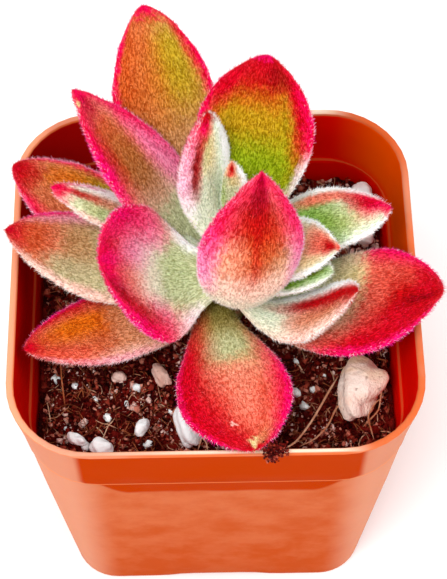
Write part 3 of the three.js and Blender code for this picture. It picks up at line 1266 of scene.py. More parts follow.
    def fuzz(self, blade: bpy.types.Object, rng: np.random.Generator) -> bpy.types.Object:
        """Grows short hairs all over the blade.

        Args:
            blade: The finished blade.
            rng: Where the chances come from.

        Returns:
            One piece with all the hairs, each a closed spike of a few triangles.
        """
        root, normal, spot = self.roots(blade, rng)
        count = len(root)
        lean = rng.normal(size=(count, 3)) * self.hair_spread
        to_tip = unit(np.array(self.tip) - np.array(self.seat))
        out = unit(normal * self.hair_rise + lean + to_tip * self.hair_to_tip)
        aside = unit(np.cross(out, rng.normal(size=(count, 3))))
        clear_selection()
        bpy.ops.mesh.primitive_cone_add(vertices=3, radius1=1, depth=1, location=(0, 0, 0.5))
        bpy.ops.object.transform_apply(location=True)
        spike = bpy.context.object
        heights = points_of(spike)[:, 2]
        length = self.hair_length * MM * rng.uniform(*self.length_range, count)
        width = self.hair_width / 2 * MM * rng.uniform(*self.width_range, count)
        piece = repeated(self.name + "_fuzz", spike, np.stack([aside, np.cross(out, aside), out], 2),
                         np.column_stack([width, width, length]), root - normal * self.hair_sunk * MM)
        set_attribute(piece, "leaf_spot", np.repeat(spot, len(heights), 0))
        # Painted rim light: hairs near the margins are whitened, more on pale leaves.
        edge = np.clip((np.abs(spot[:, 0]) - self.edge_from) / (1 - self.edge_from), 0, 1)
        edge *= self.pale_edge_white if self.slot is Slot.PALE else self.edge_white
        shade = (rng.random(count) ** self.shade_power * self.shade_reach + edge)[:, None]
        shade = np.clip(shade + heights[None] * self.tip_shade, 0, 1)
        set_attribute(piece, "hair_shade", shade.ravel())
        smooth(piece)
        lit = unit(normal + np.array([0, 0, self.skylight]))
        piece.data.normals_split_custom_set_from_vertices(np.repeat(lit, len(heights), 0))
        return piece

    def make(self, rng: np.random.Generator) -> None:
        """Builds and dresses the blade and its fuzz, and ties them to the part.

        Args:
            rng: Where the chances come from.
        """
        paint = self.paint.tree(self.name)
        blade = self.blade()
        fuzz = self.fuzz(blade, rng)
        skin = BladeFinish().material(self.name, paint, self.width / 2, math.dist(self.seat, self.tip))
        put_in_place(blade, skin, self.slot, self.name)
        put_in_place(fuzz, FuzzFinish().material(self.name, paint), self.slot)


# Short words for the table of leaves. Its numbers are in the order of the fields of Leaf.
T = Tint
S = Stroke
RED, OLIVE, PALE = Slot.RED, Slot.OLIVE, Slot.PALE

LEAVES = (
    Leaf("leaf_crown", RED, (2, -1, 53), (6.3, 0.5, 77), 14.6, 4.5, 7, 0, 0.25, 0.55, 1.02, -0.6,
         LeafPaint(T.CREAM, (
             S(T.SAGE, 0, 0.3, 1.6, 0.2, 0.35), S(T.BLUSH, 0, 0.47, 1.4, 0.13, 0.9),
             S(T.TAN, 0, 0.5, 1.6, 0.14, 0.3), S(T.SALMON, 0, 0.57, 1.1, 0.08, 0.5),
             S(T.TAN, -0.2, 0.66, 0.9, 0.12, 0.9), S(T.MOSS, 0.35, 0.62, 0.4, 0.12, 0.3),
             S(T.RUST, 0, 0.79, 1.1, 0.14, 0.85), S(T.RUST, 0.25, 0.7, 0.35, 0.13, 0.65),
             S(T.RUST, -0.1, 0.66, 0.34, 0.18, 0.75), S(T.SCARLET, -0.08, 0.66, 0.1, 0.18, 0.6),
             S(T.SALMON, -0.6, 0.62, 0.3, 0.1, 0.7), S(T.ROSE, 1, 0.56, 0.34, 0.2),
             S(T.ROSE, -1, 0.54, 0.26, 0.18), S(T.PINK, 1, 0.76, 0.28, 0.22, 0.9),
             S(T.CRIMSON, 0.78, 0.82, 0.3, 0.15, 0.75), S(T.PINK, -1, 0.74, 0.26, 0.2, 0.9),
             S(T.CRIMSON, -0.75, 0.82, 0.3, 0.15, 0.7), S(T.SCARLET, -0.12, 0.84, 0.7, 0.15, 0.95),
             S(T.CRIMSON, 0, 0.99, 1.8, 0.11), S(T.WINE, -0.15, 0.92, 0.5, 0.1, 0.75),
         )), heading=-88),
    Leaf("leaf_heart", PALE, (3.2, 3, 57), (2.6, 7, 70), 4, 2, 1, 0, 0.1, 0.5, 0.7, -0.4,
         LeafPaint(T.SAGE, (
             S(T.WHITE, -1, 0.7, 0.7, 0.5), S(T.LEAF, 0.9, 0.55, 0.25, 0.2, 0.5),
             S(T.STRAW, 0, 0.8, 0.6, 0.1, 0.7), S(T.SALMON, 0.2, 0.98, 1.2, 0.06),
             S(T.CORAL, 0.3, 0.9, 0.6, 0.07), S(T.SCARLET, 0.2, 0.93, 0.35, 0.05),
         ))),
    Leaf("leaf_left_cupped", RED, (-0.5, -0.8, 54), (-15, -6.0, 66.3), 19, 3.6, 4, -25, 0.2, 0.4, 0.5, 0,
         LeafPaint(T.SAGE, (
             S(T.LEAF, -0.1, 0.22, 0.4, 0.12, 0.12), S(T.CREAM, 0, 0.48, 0.7, 0.12, 0.8),
             S(T.BLUSH, 0.05, 0.6, 0.7, 0.12), S(T.SALMON, 0.15, 0.7, 0.5, 0.12, 0.7),
             S(T.WHITE, 0.95, 0.2, 0.3, 0.12), S(T.WHITE, -0.95, 0.14, 0.3, 0.12),
             S(T.ROSE, 0.75, 0.42, 0.35, 0.12, 0.8), S(T.ROSE, -0.7, 0.42, 0.35, 0.14, 0.9),
             S(T.ROSE, -0.4, 0.66, 0.35, 0.2, 0.9), S(T.CRIMSON, 1, 0.66, 0.52, 0.42),
             S(T.CRIMSON, -1, 0.66, 0.5, 0.36), S(T.CRIMSON, 0, 1, 1.9, 0.33),
             S(T.SCARLET, 0.66, 0.72, 0.16, 0.26, 0.8), S(T.WINE, 0.55, 0.86, 0.2, 0.1, 0.5),
             S(T.SCARLET, -0.55, 0.86, 0.25, 0.1, 0.4), S(T.PINK, -0.15, 0.88, 0.18, 0.14, 0.6),
             S(T.PINK, -0.8, 0.62, 0.25, 0.3, 0.5), S(T.PINK, 1, 0.7, 0.1, 0.3, 0.7),
         )), heading=200, skew=-0.16),
    Leaf("leaf_back_upright", PALE, (0.5, 3, 57), (-0.6, 12.2, 74), 9, 4.8, 2, 40, 0.1, 0.5, 0.65, 0,
         LeafPaint(T.MINT, (
             S(T.STRAW, 0.2, 0.76, 0.4, 0.22, 0.8), S(T.GREEN, 0.3, 0.78, 0.2, 0.16, 0.3),
             S(T.SAGE, 0, 0.3, 0.5, 0.2, 0.15), S(T.WHITE, -0.75, 0.7, 0.3, 0.3, 0.9),
             S(T.LEAF, -0.6, 0.36, 0.3, 0.12, 0.5), S(T.WHITE, 1, 0.4, 0.3, 0.16, 0.8),
             S(T.ROSE, 1, 0.6, 0.3, 0.22, 0.8), S(T.PINK, 1, 0.84, 0.3, 0.16, 0.7),
             S(T.SCARLET, 0.66, 0.7, 0.2, 0.26, 0.9), S(T.WINE, 0.7, 0.6, 0.12, 0.2, 0.8),
             S(T.RUST, 0.42, 0.86, 0.2, 0.1, 0.8), S(T.CRIMSON, 0.55, 0.93, 0.6, 0.1),
             S(T.SCARLET, 0.2, 0.98, 1.3, 0.06),
         ))),
    Leaf("leaf_right_inner", PALE, (3.5, 1, 57), (16.9, -1.7, 62), 10.5, 2.6, 1, 0, 0.12, 0.5, 0.8, 0.5,
         LeafPaint(T.MINT, (
             S(T.STRAW, -0.1, 0.62, 0.8, 0.14, 0.8), S(T.SALMON, 0.1, 0.8, 0.75, 0.2),
             S(T.CORAL, 0.15, 0.84, 0.5, 0.15, 0.8), S(T.STRAW, -0.6, 0.72, 0.25, 0.14, 0.6),
             S(T.WHITE, -1, 0.7, 0.12, 0.4, 0.8), S(T.WHITE, 1, 0.7, 0.2, 0.4, 0.9),
             S(T.SCARLET, 0, 0.9, 0.5, 0.07), S(T.CORAL, 0, 1, 1.2, 0.04),
         ))),
    Leaf("leaf_right_bud", PALE, (3.5, -1, 54), (15.9, -4.2, 60), 6.0, 2, 1, 0, 0.1, 0.5, 0.5, 0,
         LeafPaint(T.MINT, (
             S(T.LEAF, 0.1, 0.72, 0.8, 0.3), S(T.MOSS, 0, 0.7, 0.3, 0.2, 0.6),
             S(T.LEAF, -0.5, 0.5, 0.4, 0.2), S(T.WHITE, 1, 0.65, 0.25, 0.3, 0.6),
             S(T.WHITE, -1, 0.6, 0.18, 0.4, 0.8),
         ))),
    Leaf("leaf_right_curled", PALE, (3, -3, 53), (19, -8.3, 62), 8.4, 3.2, 4.6, 0, 0.12, 0.55, 0.55, -1.6,
         LeafPaint(T.BLUSH, (
             S(T.MINT, 0.3, 0.2, 1.6, 0.22), S(T.WHITE, 0.95, 0.6, 0.44, 0.5),
             S(T.TAN, -0.35, 0.68, 0.5, 0.26, 0.8), S(T.RUST, -0.25, 0.68, 0.35, 0.28, 0.5),
             S(T.SCARLET, 0.25, 0.62, 0.28, 0.36), S(T.WINE, 0.28, 0.56, 0.14, 0.22, 0.4),
             S(T.SCARLET, 0.15, 0.84, 0.42, 0.2), S(T.SCARLET, -0.1, 0.98, 0.9, 0.12),
             S(T.BLUSH, -1, 0.62, 0.22, 0.36, 0.4),
         ))),
    Leaf("leaf_back_left", RED, (0, 3.6, 51.5), (-18.5, 16.7, 73.5), 12.8, 3.6, 2, 10, 0.25, 0.42, 0.8, -0.8,
         LeafPaint(T.SAGE, (
             S(T.BLUSH, 0, 0.42, 1, 0.08, 0.6), S(T.TAN, 0, 0.66, 1.2, 0.26),
             S(T.RUST, 0.2, 0.7, 0.62, 0.28, 0.85), S(T.MOSS, 0.1, 0.56, 0.4, 0.16, 0.4),
             S(T.CRIMSON, 1, 0.72, 0.36, 0.34), S(T.SCARLET, 0.62, 0.74, 0.25, 0.24, 0.6),
             S(T.ROSE, -1, 0.46, 0.6, 0.16, 0.9), S(T.PINK, -0.9, 0.64, 0.5, 0.26, 0.9),
             S(T.ROSE, -0.9, 0.52, 0.42, 0.22, 0.8), S(T.PINK, -1, 0.7, 0.3, 0.3, 0.8),
             S(T.CRIMSON, -1, 0.82, 0.4, 0.2, 0.8), S(T.PINK, 1, 0.56, 0.2, 0.2, 0.7),
             S(T.CRIMSON, 0, 0.99, 1.7, 0.14), S(T.WINE, 0.1, 0.9, 0.5, 0.06, 0.5),
             S(T.STRAW, 0.75, 0.945, 0.16, 0.018),
         ))),
    Leaf("leaf_back_broad", OLIVE, (3, 4, 55), (7.7, 20, 76), 16.2, 3.7, 2, 0, 0.12, 0.6, 0.65, 0,
         LeafPaint(T.GREEN, (
             S(T.OLIVE, 0.1, 0.7, 0.9, 0.18, 0.9), S(T.RUST, 0.1, 0.82, 0.8, 0.1, 0.7),
             S(T.SCARLET, 0.1, 0.89, 0.9, 0.09, 0.9), S(T.LEAF, -0.1, 0.42, 0.7, 0.14, 0.4),
             S(T.RUST, 0.8, 0.72, 0.2, 0.22, 0.6), S(T.RUST, -0.8, 0.72, 0.2, 0.2, 0.6),
             S(T.CRIMSON, 1, 0.7, 0.2, 0.4), S(T.RUBY, 0.75, 0.84, 0.25, 0.14),
             S(T.RUBY, -0.85, 0.78, 0.22, 0.3), S(T.CRIMSON, -1, 0.68, 0.16, 0.34),
             S(T.RUBY, 0, 1, 1.6, 0.14), S(T.WINE, -0.45, 0.9, 0.35, 0.06, 0.6),
             S(T.PINK, 0, 1, 1.6, 0.025, 0.8), S(T.WHITE, -1, 0.4, 0.16, 0.12, 0.8),
             S(T.BLUSH, 1, 0.36, 0.1, 0.16, 0.6),
         ))),
    Leaf("leaf_right_back", PALE, (4, 2, 54), (24.4, 6, 60), 10.4, 3.2, 1, 0, 0.12, 0.55, 0.7, 2.1,
         LeafPaint(T.MINT, (
             S(T.LEAF, 0, 0.46, 0.75, 0.22, 0.9), S(T.LEAF, -0.5, 0.6, 0.4, 0.14, 0.5),
             S(T.STRAW, -0.3, 0.8, 0.5, 0.12, 0.4), S(T.GREEN, -0.1, 0.7, 0.5, 0.14, 0.35),
             S(T.WHITE, -1, 0.8, 0.12, 0.22, 0.9), S(T.CORAL, 0.62, 0.64, 0.22, 0.26, 0.85),
             S(T.CRIMSON, 0.4, 0.89, 0.8, 0.12), S(T.SCARLET, 0.4, 0.84, 0.35, 0.12, 0.8),
             S(T.WHITE, 1, 0.55, 0.22, 0.5, 0.9), S(T.CRIMSON, 0.1, 0.99, 1.3, 0.06),
         ))),
    Leaf("leaf_left_young", PALE, (0, 1, 54), (-21.8, 7.6, 64), 6.2, 3, 2, 0, 0.12, 0.5, 0.5, -1.9,
         LeafPaint(T.MINT, (
             S(T.SAGE, 0.2, 0.7, 0.9, 0.2, 0.8), S(T.STRAW, 0.5, 0.8, 0.5, 0.1, 0.2),
             S(T.LEAF, 0.5, 0.62, 0.4, 0.2, 0.4), S(T.BLUSH, 1, 0.74, 0.16, 0.26, 0.8),
             S(T.WHITE, -0.85, 0.6, 0.55, 0.26), S(T.RUST, -0.1, 0.7, 0.3, 0.18, 0.6),
             S(T.SCARLET, -0.1, 0.86, 0.24, 0.13, 0.9), S(T.ROSE, -1, 0.84, 0.3, 0.12, 0.8),
             S(T.CRIMSON, 0, 0.99, 1.6, 0.1),
         ))),
    Leaf("leaf_back_tall", OLIVE, (0, 3, 50.5), (-9.2, 32.4, 72), 14.8, 3.6, 2, 0, 0.12, 0.6, 0.65, 0.6,
         LeafPaint(T.TAN, (
             S(T.MOSS, 0, 0.48, 1.4, 0.22, 0.3), S(T.ORANGE, 0.5, 0.76, 0.7, 0.24, 0.75),
             S(T.MOSS, 0.4, 0.6, 0.6, 0.2, 0.2), S(T.OLIVE, -0.4, 0.76, 0.55, 0.2, 0.9),
             S(T.GREEN, -0.4, 0.76, 0.3, 0.14, 0.35), S(T.RUST, 0.45, 0.78, 0.7, 0.22, 0.3),
             S(T.RUST, 0.85, 0.76, 0.3, 0.24, 0.6), S(T.RUST, 0, 0.96, 0.9, 0.03, 0.7),
             S(T.CRIMSON, 1, 0.76, 0.13, 0.36), S(T.CRIMSON, -1, 0.76, 0.17, 0.34),
             S(T.RUBY, -0.85, 0.86, 0.14, 0.16, 0.6), S(T.CRIMSON, 0, 1, 1.6, 0.04),
             S(T.ROSE, -1, 0.42, 0.12, 0.12, 0.5),
         ))),
    Leaf("leaf_left", OLIVE, (0, 0, 50), (-28.5, 4.8, 58), 13.5, 3.7, 2, 0, 0.1, 0.55, 0.7, -0.3,
         LeafPaint(T.SAGE, (
             S(T.STRAW, 0, 0.56, 1.2, 0.14, 0.4), S(T.TAN, -0.1, 0.75, 1.1, 0.18, 0.9),
             S(T.SALMON, 0, 0.83, 0.8, 0.1, 0.7), S(T.CORAL, 0.1, 0.89, 0.7, 0.06, 0.35),
             S(T.RUBY, 0, 0.93, 0.8, 0.07, 0.65), S(T.MOSS, 0, 0.74, 1.2, 0.18, 0.35),
             S(T.CORAL, 0.1, 0.84, 0.9, 0.1, 0.4), S(T.RUST, 0.1, 0.86, 0.9, 0.09, 0.75),
             S(T.SAGE, 0.6, 0.66, 0.3, 0.14, 0.5), S(T.BLUSH, 1, 0.64, 0.18, 0.34, 0.9),
             S(T.ROSE, -0.85, 0.7, 0.25, 0.2, 0.6), S(T.PINK, -1, 0.8, 0.17, 0.2),
             S(T.ROSE, -1, 0.58, 0.2, 0.12), S(T.RUBY, 0, 1, 1.6, 0.1),
         ))),
    Leaf("leaf_right_broad", RED, (4, -1.5, 50), (30.7, -6.2, 58), 17, 3.7, 2, 0, 0.1, 0.62, 0.65, -1.3,
         LeafPaint(T.SAGE, (
             S(T.SCARLET, 0, 0.86, 1.8, 0.34), S(T.CORAL, 0.35, 0.65, 0.6, 0.09, 0.7),
             S(T.STRAW, 0.45, 0.55, 0.4, 0.06, 0.7), S(T.RUBY, -0.95, 0.66, 0.65, 0.44),
             S(T.CRIMSON, 0.97, 0.8, 0.3, 0.26), S(T.BLUSH, 1, 0.52, 0.3, 0.06, 0.7),
             S(T.CORAL, 0.5, 0.8, 0.3, 0.12, 0.4), S(T.WINE, -0.2, 0.9, 0.16, 0.09, 0.8),
             S(T.RUBY, 0.45, 0.92, 0.5, 0.07, 0.8), S(T.PINK, -1, 0.7, 0.12, 0.3, 0.8),
             S(T.PINK, 1, 0.78, 0.1, 0.2, 0.6), S(T.RUBY, 0, 1, 1.5, 0.02, 0.7),
             S(T.SAGE, 0.4, 0.46, 0.9, 0.12, 0.6), S(T.STRAW, 0.4, 0.52, 0.6, 0.08, 0.4),
         ))),
    Leaf("leaf_far_left", RED, (0, 2, 48.5), (-27.8, 15.6, 58), 13, 3.6, 2, 0, 0.12, 0.6, 0.65, 0,
         LeafPaint(T.TAN, (
             S(T.RUST, 0.4, 0.78, 0.6, 0.22, 0.55), S(T.OLIVE, -0.4, 0.62, 0.5, 0.18, 0.95),
             S(T.GREEN, -0.3, 0.58, 0.4, 0.12, 0.5), S(T.ORANGE, -0.35, 0.78, 0.45, 0.11, 0.8),
             S(T.BLUSH, 0.6, 0.5, 0.4, 0.1, 0.6), S(T.CRIMSON, 1, 0.74, 0.36, 0.36),
             S(T.CRIMSON, -1, 0.76, 0.2, 0.34), S(T.RUBY, 0.1, 1, 1.5, 0.11),
             S(T.SCARLET, 0.1, 0.92, 0.7, 0.06, 0.7), S(T.ROSE, -1, 0.7, 0.09, 0.3, 0.6),
             S(T.ROSE, 1, 0.66, 0.1, 0.26, 0.5),
         ))),
    Leaf("leaf_front", RED, (0, -1, 47.5), (5.0, -28, 54.8), 15.6, 3.7, 0, 0, 0.05, 0.64, 0.6, -1,
         LeafPaint(T.KHAKI, (
             # The moss dab at the seat is partly the leaf's own olive and partly painted shade where it runs
             # in under the rosette.
             S(T.MOSS, 0, 0.1, 1.6, 0.14, 0.8), S(T.SAGE, 0.1, 0.38, 0.6, 0.1, 0.7),
             S(T.STRAW, 0.05, 0.5, 0.7, 0.06, 0.3), S(T.SALMON, 0, 0.57, 0.9, 0.11, 0.9),
             S(T.CORAL, 0, 0.78, 1.2, 0.22), S(T.SALMON, 0.1, 0.68, 0.3, 0.16, 0.5),
             S(T.RUBY, -1, 0.66, 0.74, 0.6), S(T.RUBY, -1, 0.46, 0.45, 0.24),
             S(T.RUBY, -0.7, 0.84, 0.4, 0.22, 0.8), S(T.CRIMSON, 1, 0.74, 0.36, 0.4),
             S(T.RUBY, -0.3, 0.94, 0.5, 0.06, 0.8), S(T.PINK, -1, 0.7, 0.1, 0.4, 0.6),
             S(T.PINK, 1, 0.72, 0.12, 0.36, 0.7), S(T.RUBY, 0, 1, 1.5, 0.03),
             S(T.STRAW, 0.02, 0.965, 0.22, 0.026), S(T.BLUSH, -0.28, 0.85, 0.07, 0.014, 0.8),
         )), skew=-0.12, waist=2.2),
    Leaf("leaf_front_left", RED, (0, -1, 47), (-25.8, -11.4, 53), 11, 3.6, 1, 0, 0.1, 0.55, 0.7, -0.4,
         LeafPaint(T.TAN, (
             S(T.RUST, 0.3, 0.7, 0.9, 0.24, 0.7), S(T.ORANGE, -0.2, 0.7, 0.45, 0.22),
             S(T.TAN, 0.3, 0.46, 1.1, 0.1, 0.8), S(T.RUST, 0.3, 0.9, 0.9, 0.08, 0.6),
             S(T.RUBY, 0.6, 0.84, 0.3, 0.12, 0.35), S(T.RUBY, -0.98, 0.76, 0.42, 0.34),
             S(T.BLUSH, 0.95, 0.5, 0.24, 0.2, 0.5), S(T.ROSE, 1, 0.66, 0.12, 0.3, 0.5),
             S(T.CORAL, 0.75, 0.8, 0.25, 0.14, 0.5), S(T.RUBY, 0.1, 1, 1.5, 0.1),
             S(T.PINK, -1, 0.7, 0.12, 0.3, 0.7),
         ))),
)


@dataclass
class Rosette:
    """The plant above the soil: its leaves, and the stem that carries them.

    The stem's line has the place of its middle and its radius at each of a few heights.
    """

    leaves: tuple[Leaf, ...] = LEAVES
    seed: int = 11
    stem_line: tuple[Ramp, ...] = (
        (1.2, 1, 30, 3.2), (1.3, 1, 38, 3.2), (1.4, 1, 44, 3.1), (1.7, 1.1, 48, 2.95), (2, 1.2, 52, 2.8),
        (2.3, 1.3, 55.5, 2.1), (2.6, 1.4, 58.5, 1.3),
    )
    stem_sides: int = 20
    stem_rings: int = 27
    scar: float = 0.93
    swell: float = 1.05
    bark_width: float = 1.5
    bark_depth: float = 0.25

    def stem(self) -> bpy.types.Object:
        """Models the stem from a disc that is extruded up it, ring by ring, with leaf scars between.

        Returns:
            The piece.
        """
        clear_selection()
        x, y, z, radius = self.stem_line[0]
        bpy.ops.mesh.primitive_circle_add(vertices=self.stem_sides, radius=radius * MM, fill_type="NGON",
                                          location=(x * MM, y * MM, z * MM))
        bpy.ops.object.transform_apply(location=True)
        piece = named("stem_and_scars")
        edit_all(piece)
        line = np.array(self.stem_line)
        past = line[0].copy()
        for i, height in enumerate(np.linspace(line[0, 2], line[-1, 2], self.stem_rings)[1:]):
            now = np.array([np.interp(height, line[:, 2], line[:, k]) for k in range(4)])
            now[3] *= self.scar if i % 2 else self.swell
            step = (now[:3] - past[:3]) * MM
            bpy.ops.mesh.extrude_region_move(TRANSFORM_OT_translate={"value": tuple(step)})
            ratio = now[3] / past[3]
            bpy.ops.transform.resize(value=(ratio, ratio, 1), center_override=tuple(now[:3] * MM))
            past = now
        close_edit()
        roughen(piece, self.bark_width, self.bark_depth)
        smooth(piece)
        return piece

    def make(self) -> None:
        """Builds the stem and every leaf, and ties them to the part."""
        stops = ((0.1, "6e6a34"), (0.6, "a09a60"), (1.0, "b8a070"))
        bark = EarthFinish("green_bark", stops, roughness=(0.6, 0.85))
        put_in_place(self.stem(), bark.material(), Slot.STEM, "stem_and_roots")
        rng = np.random.default_rng(self.seed)
        for leaf in self.leaves:
            leaf.make(rng)


# Pot


@dataclass
class Pot:
    """The square nursery pot: a thin tapered shell with a collar, notches and drain holes.

    A level has its height, the pot's width and corner radius there, and its share of the notches.
    """

    finish: PlasticFinish = PlasticFinish()
    corner_steps: int = 9
    side_cuts: int = 15
    plate_width: float = 36.4
    plate_corner: float = 3.4
    outside: tuple[Ramp, ...] = (
        (0, 37.2, 3.6, 1), (0, 43.0, 6.2, 1), (0.15, 43.55, 6.4, 1), (0.6, 44.05, 6.5, 0.6),
        (1.6, 44.3, 6.6, 0.1), (8, 45.6, 6.95, 0), (15, 47.0, 7.35, 0), (22, 48.4, 7.75, 0),
        (29, 49.8, 8.15, 0), (36, 51.1, 8.55, 0), (41.9, 52.2, 8.9, 0), (42.25, 52.45, 9.3, 0),
        (42.5, 53.15, 10.3, 0), (42.8, 53.5, 10.8, 0), (46, 54.15, 11.1, 0), (49.5, 55.0, 11.25, 0),
        (52.8, 55.85, 11.35, 0), (53.2, 55.98, 11.4, 0), (53.38, 55.75, 11.3, 0),
    )
    inside: tuple[Ramp, ...] = (
        (53.4, 55.2, 11, 0), (53.36, 54.5, 10.65, 0), (53.15, 54.1, 10.45, 0), (52.6, 53.9, 10.4, 0),
        (48, 52.7, 10.2, 0), (44.6, 51.85, 10.05, 0), (44.25, 51.5, 9.6, 0), (44.0, 50.75, 8.5, 0),
        (43.6, 50.5, 8, 0), (30, 47.95, 7.2, 0), (15, 45.05, 6.4, 0), (2.2, 42.5, 5.7, 0),
        (1.4, 41.0, 5.2, 0),
    )
    notch_half: float = 9.0
    notch_slope: float = 4.5
    notch_rise: float = 1.1
    drain_radius: float = 2.4
    drain_at: float = 12.0
    drain_sides: int = 28
    drain_length: float = 6.0
    drain_middle: float = 0.5
    inward_lean: float = 0.2
    inside_above: float = 1.0
    sharp_above: float = 40.0

    def plate(self) -> bpy.types.Object:
        """Adds the rounded plate that the pot is drawn from, with its sides cut finely.

        Returns:
            The piece, in edit mode.
        """
        clear_selection()
        bpy.ops.mesh.primitive_plane_add(size=self.plate_width * MM)
        piece = named("nursery_pot")
        edit_all(piece)
        bpy.ops.mesh.bevel(offset=self.plate_corner * MM, segments=self.corner_steps, affect="VERTICES")
        bpy.ops.mesh.select_mode(type="EDGE")
        bpy.ops.mesh.select_all(action="DESELECT")
        mesh = bmesh.from_edit_mesh(piece.data)
        for edge in mesh.edges:
            edge.select_set(edge.calc_length() > self.plate_width * MM / 2)
        bmesh.update_edit_mesh(piece.data)
        bpy.ops.mesh.subdivide(number_cuts=self.side_cuts)
        bpy.ops.mesh.select_mode(type="VERT")
        bpy.ops.mesh.select_all(action="SELECT")
        return piece

    def mark(self, mesh: bmesh.types.BMesh) -> None:
        """Marks each vertex with its place round a ring: on the inner square, and on the corner's arc.

        Args:
            mesh: The plate's mesh in edit mode.
        """
        square = mesh.verts.layers.float_vector.new("square")
        arc = mesh.verts.layers.float_vector.new("arc")
        corner = self.plate_corner
        flat = self.plate_width / 2 - corner
        past_flat = flat + 1e-4
        for vertex in mesh.verts:
            x, y = vertex.co.x / MM, vertex.co.y / MM
            sx, sy = math.copysign(1, x), math.copysign(1, y)
            if abs(x) > past_flat and abs(y) > past_flat:
                vertex[square] = (sx, sy, 0)
                vertex[arc] = ((x - sx * flat) / corner, (y - sy * flat) / corner, 0)
            elif abs(x) > abs(y):
                vertex[square], vertex[arc] = (sx, y / flat, 0), (sx, 0, 0)
            else:
                vertex[square], vertex[arc] = (x / flat, sy, 0), (0, sy, 0)

    def ring(self, mesh: bmesh.types.BMesh, level: Ramp) -> None:
        """Moves the selected ring to a level.

        Args:
            mesh: The pot's mesh in edit mode, whose vertices know their place round a ring.
            level: Height, outside width, corner radius, and the share of a notch that it takes.
        """
        z, width, corner, notched = level
        square, arc = (mesh.verts.layers.float_vector[name] for name in ("square", "arc"))
        flat = width / 2 - corner
        for vertex in (v for v in mesh.verts if v.select):
            s, a = vertex[square], vertex[arc]
            aside = abs(s[1] if abs(a[0]) > abs(a[1]) else s[0]) * flat
            on_side = min(abs(s[0]), abs(s[1])) < 1
            share = float(np.clip((self.notch_half - aside) / self.notch_slope, 0, 1)) if on_side else 0
            rise = self.notch_rise * notched * share * share * (3 - 2 * share)
            x, y = (s[k] * flat + a[k] * corner for k in (0, 1))
            vertex.co = (x * MM, y * MM, (z + rise) * MM)

    def drill(self, piece: bpy.types.Object) -> None:
        """Cuts the four drain holes through the pot's floor.

        Args:
            piece: The pot.
        """
        for x in (-self.drain_at, self.drain_at):
            for y in (-self.drain_at, self.drain_at):
                clear_selection()
                bpy.ops.mesh.primitive_cylinder_add(
                    vertices=self.drain_sides, radius=self.drain_radius * MM, depth=self.drain_length * MM,
                    location=(x * MM, y * MM, self.drain_middle * MM))
                drill = bpy.context.object
                apply_modifier(piece, "BOOLEAN", object=drill, operation="DIFFERENCE", solver="EXACT")
                bpy.data.objects.remove(drill)

    def build(self) -> bpy.types.Object:
        """Models the pot from a rounded plate that is extruded out, up, over the rim and down inside.

        Returns:
            The piece, with its inside marked in an attribute.
        """
        piece = self.plate()
        self.mark(bmesh.from_edit_mesh(piece.data))
        for level in self.outside + self.inside:
            bpy.ops.mesh.extrude_region_move(TRANSFORM_OT_translate={"value": (0, 0, 0)})
            self.ring(bmesh.from_edit_mesh(piece.data), level)
            bmesh.update_edit_mesh(piece.data)
        close_edit()
        self.drill(piece)
        normal, points = rows(piece.data.vertices, "normal"), points_of(piece)
        outward = (normal[:, :2] * points[:, :2]).sum(1)
        inward = outward < -self.inward_lean * np.linalg.norm(points[:, :2], axis=1)
        set_attribute(piece, "inner", (inward & (points[:, 2] > self.inside_above * MM)).astype(float))
        smooth(piece, self.sharp_above)
        return piece

    def make(self) -> None:
        """Builds and dresses the pot, and ties it to the part."""
        put_in_place(self.build(), self.finish.material(), Slot.POT, "pot")


# Soil


def soil_height(x: np.ndarray, y: np.ndarray) -> np.ndarray:
    """Works out how high the soil stands: a low heap round the stem, with lumps and small waves on it.

    Args:
        x: Places from left to right, in millimetres.
        y: Places from front to back, in millimetres.

    Returns:
        The heights there, in millimetres.
    """
    level = 40.5
    heap = 1.4 * np.exp(-(x * x + y * y) / 260)
    lumps = 0.55 * np.sin(0.62 * x + 1.3) * np.cos(0.55 * y - 0.4)
    return level + heap + lumps + 0.4 * np.sin(1.9 * x + 0.8 * y) * np.sin(2.1 * y - 0.5 * x)


BITS = EarthFinish(
    "peat_bits", ((0.0, "3c0404"), (0.25, "741008"), (0.5, "b04c38"), (0.75, "eca088"), (1.0, "fff0e8")),
    "shade", (0.4, 0.8),
)


@dataclass(frozen=True)
class Grain:
    """A white grain of perlite on the soil: where it lies, and how big it is."""

    x: float
    y: float
    size: float


@dataclass(frozen=True)
class Root:
    """A thin root: the points that it passes through, its radius, and its lightness."""

    line: tuple[Place, ...]
    radius: float
    shade: float


@dataclass(frozen=True)
class Crumbs:
    """One layer of crumbs: how many, and the logarithm of the middle size and the largest in millimetres."""

    name: str
    count: int
    middle: float
    largest: float


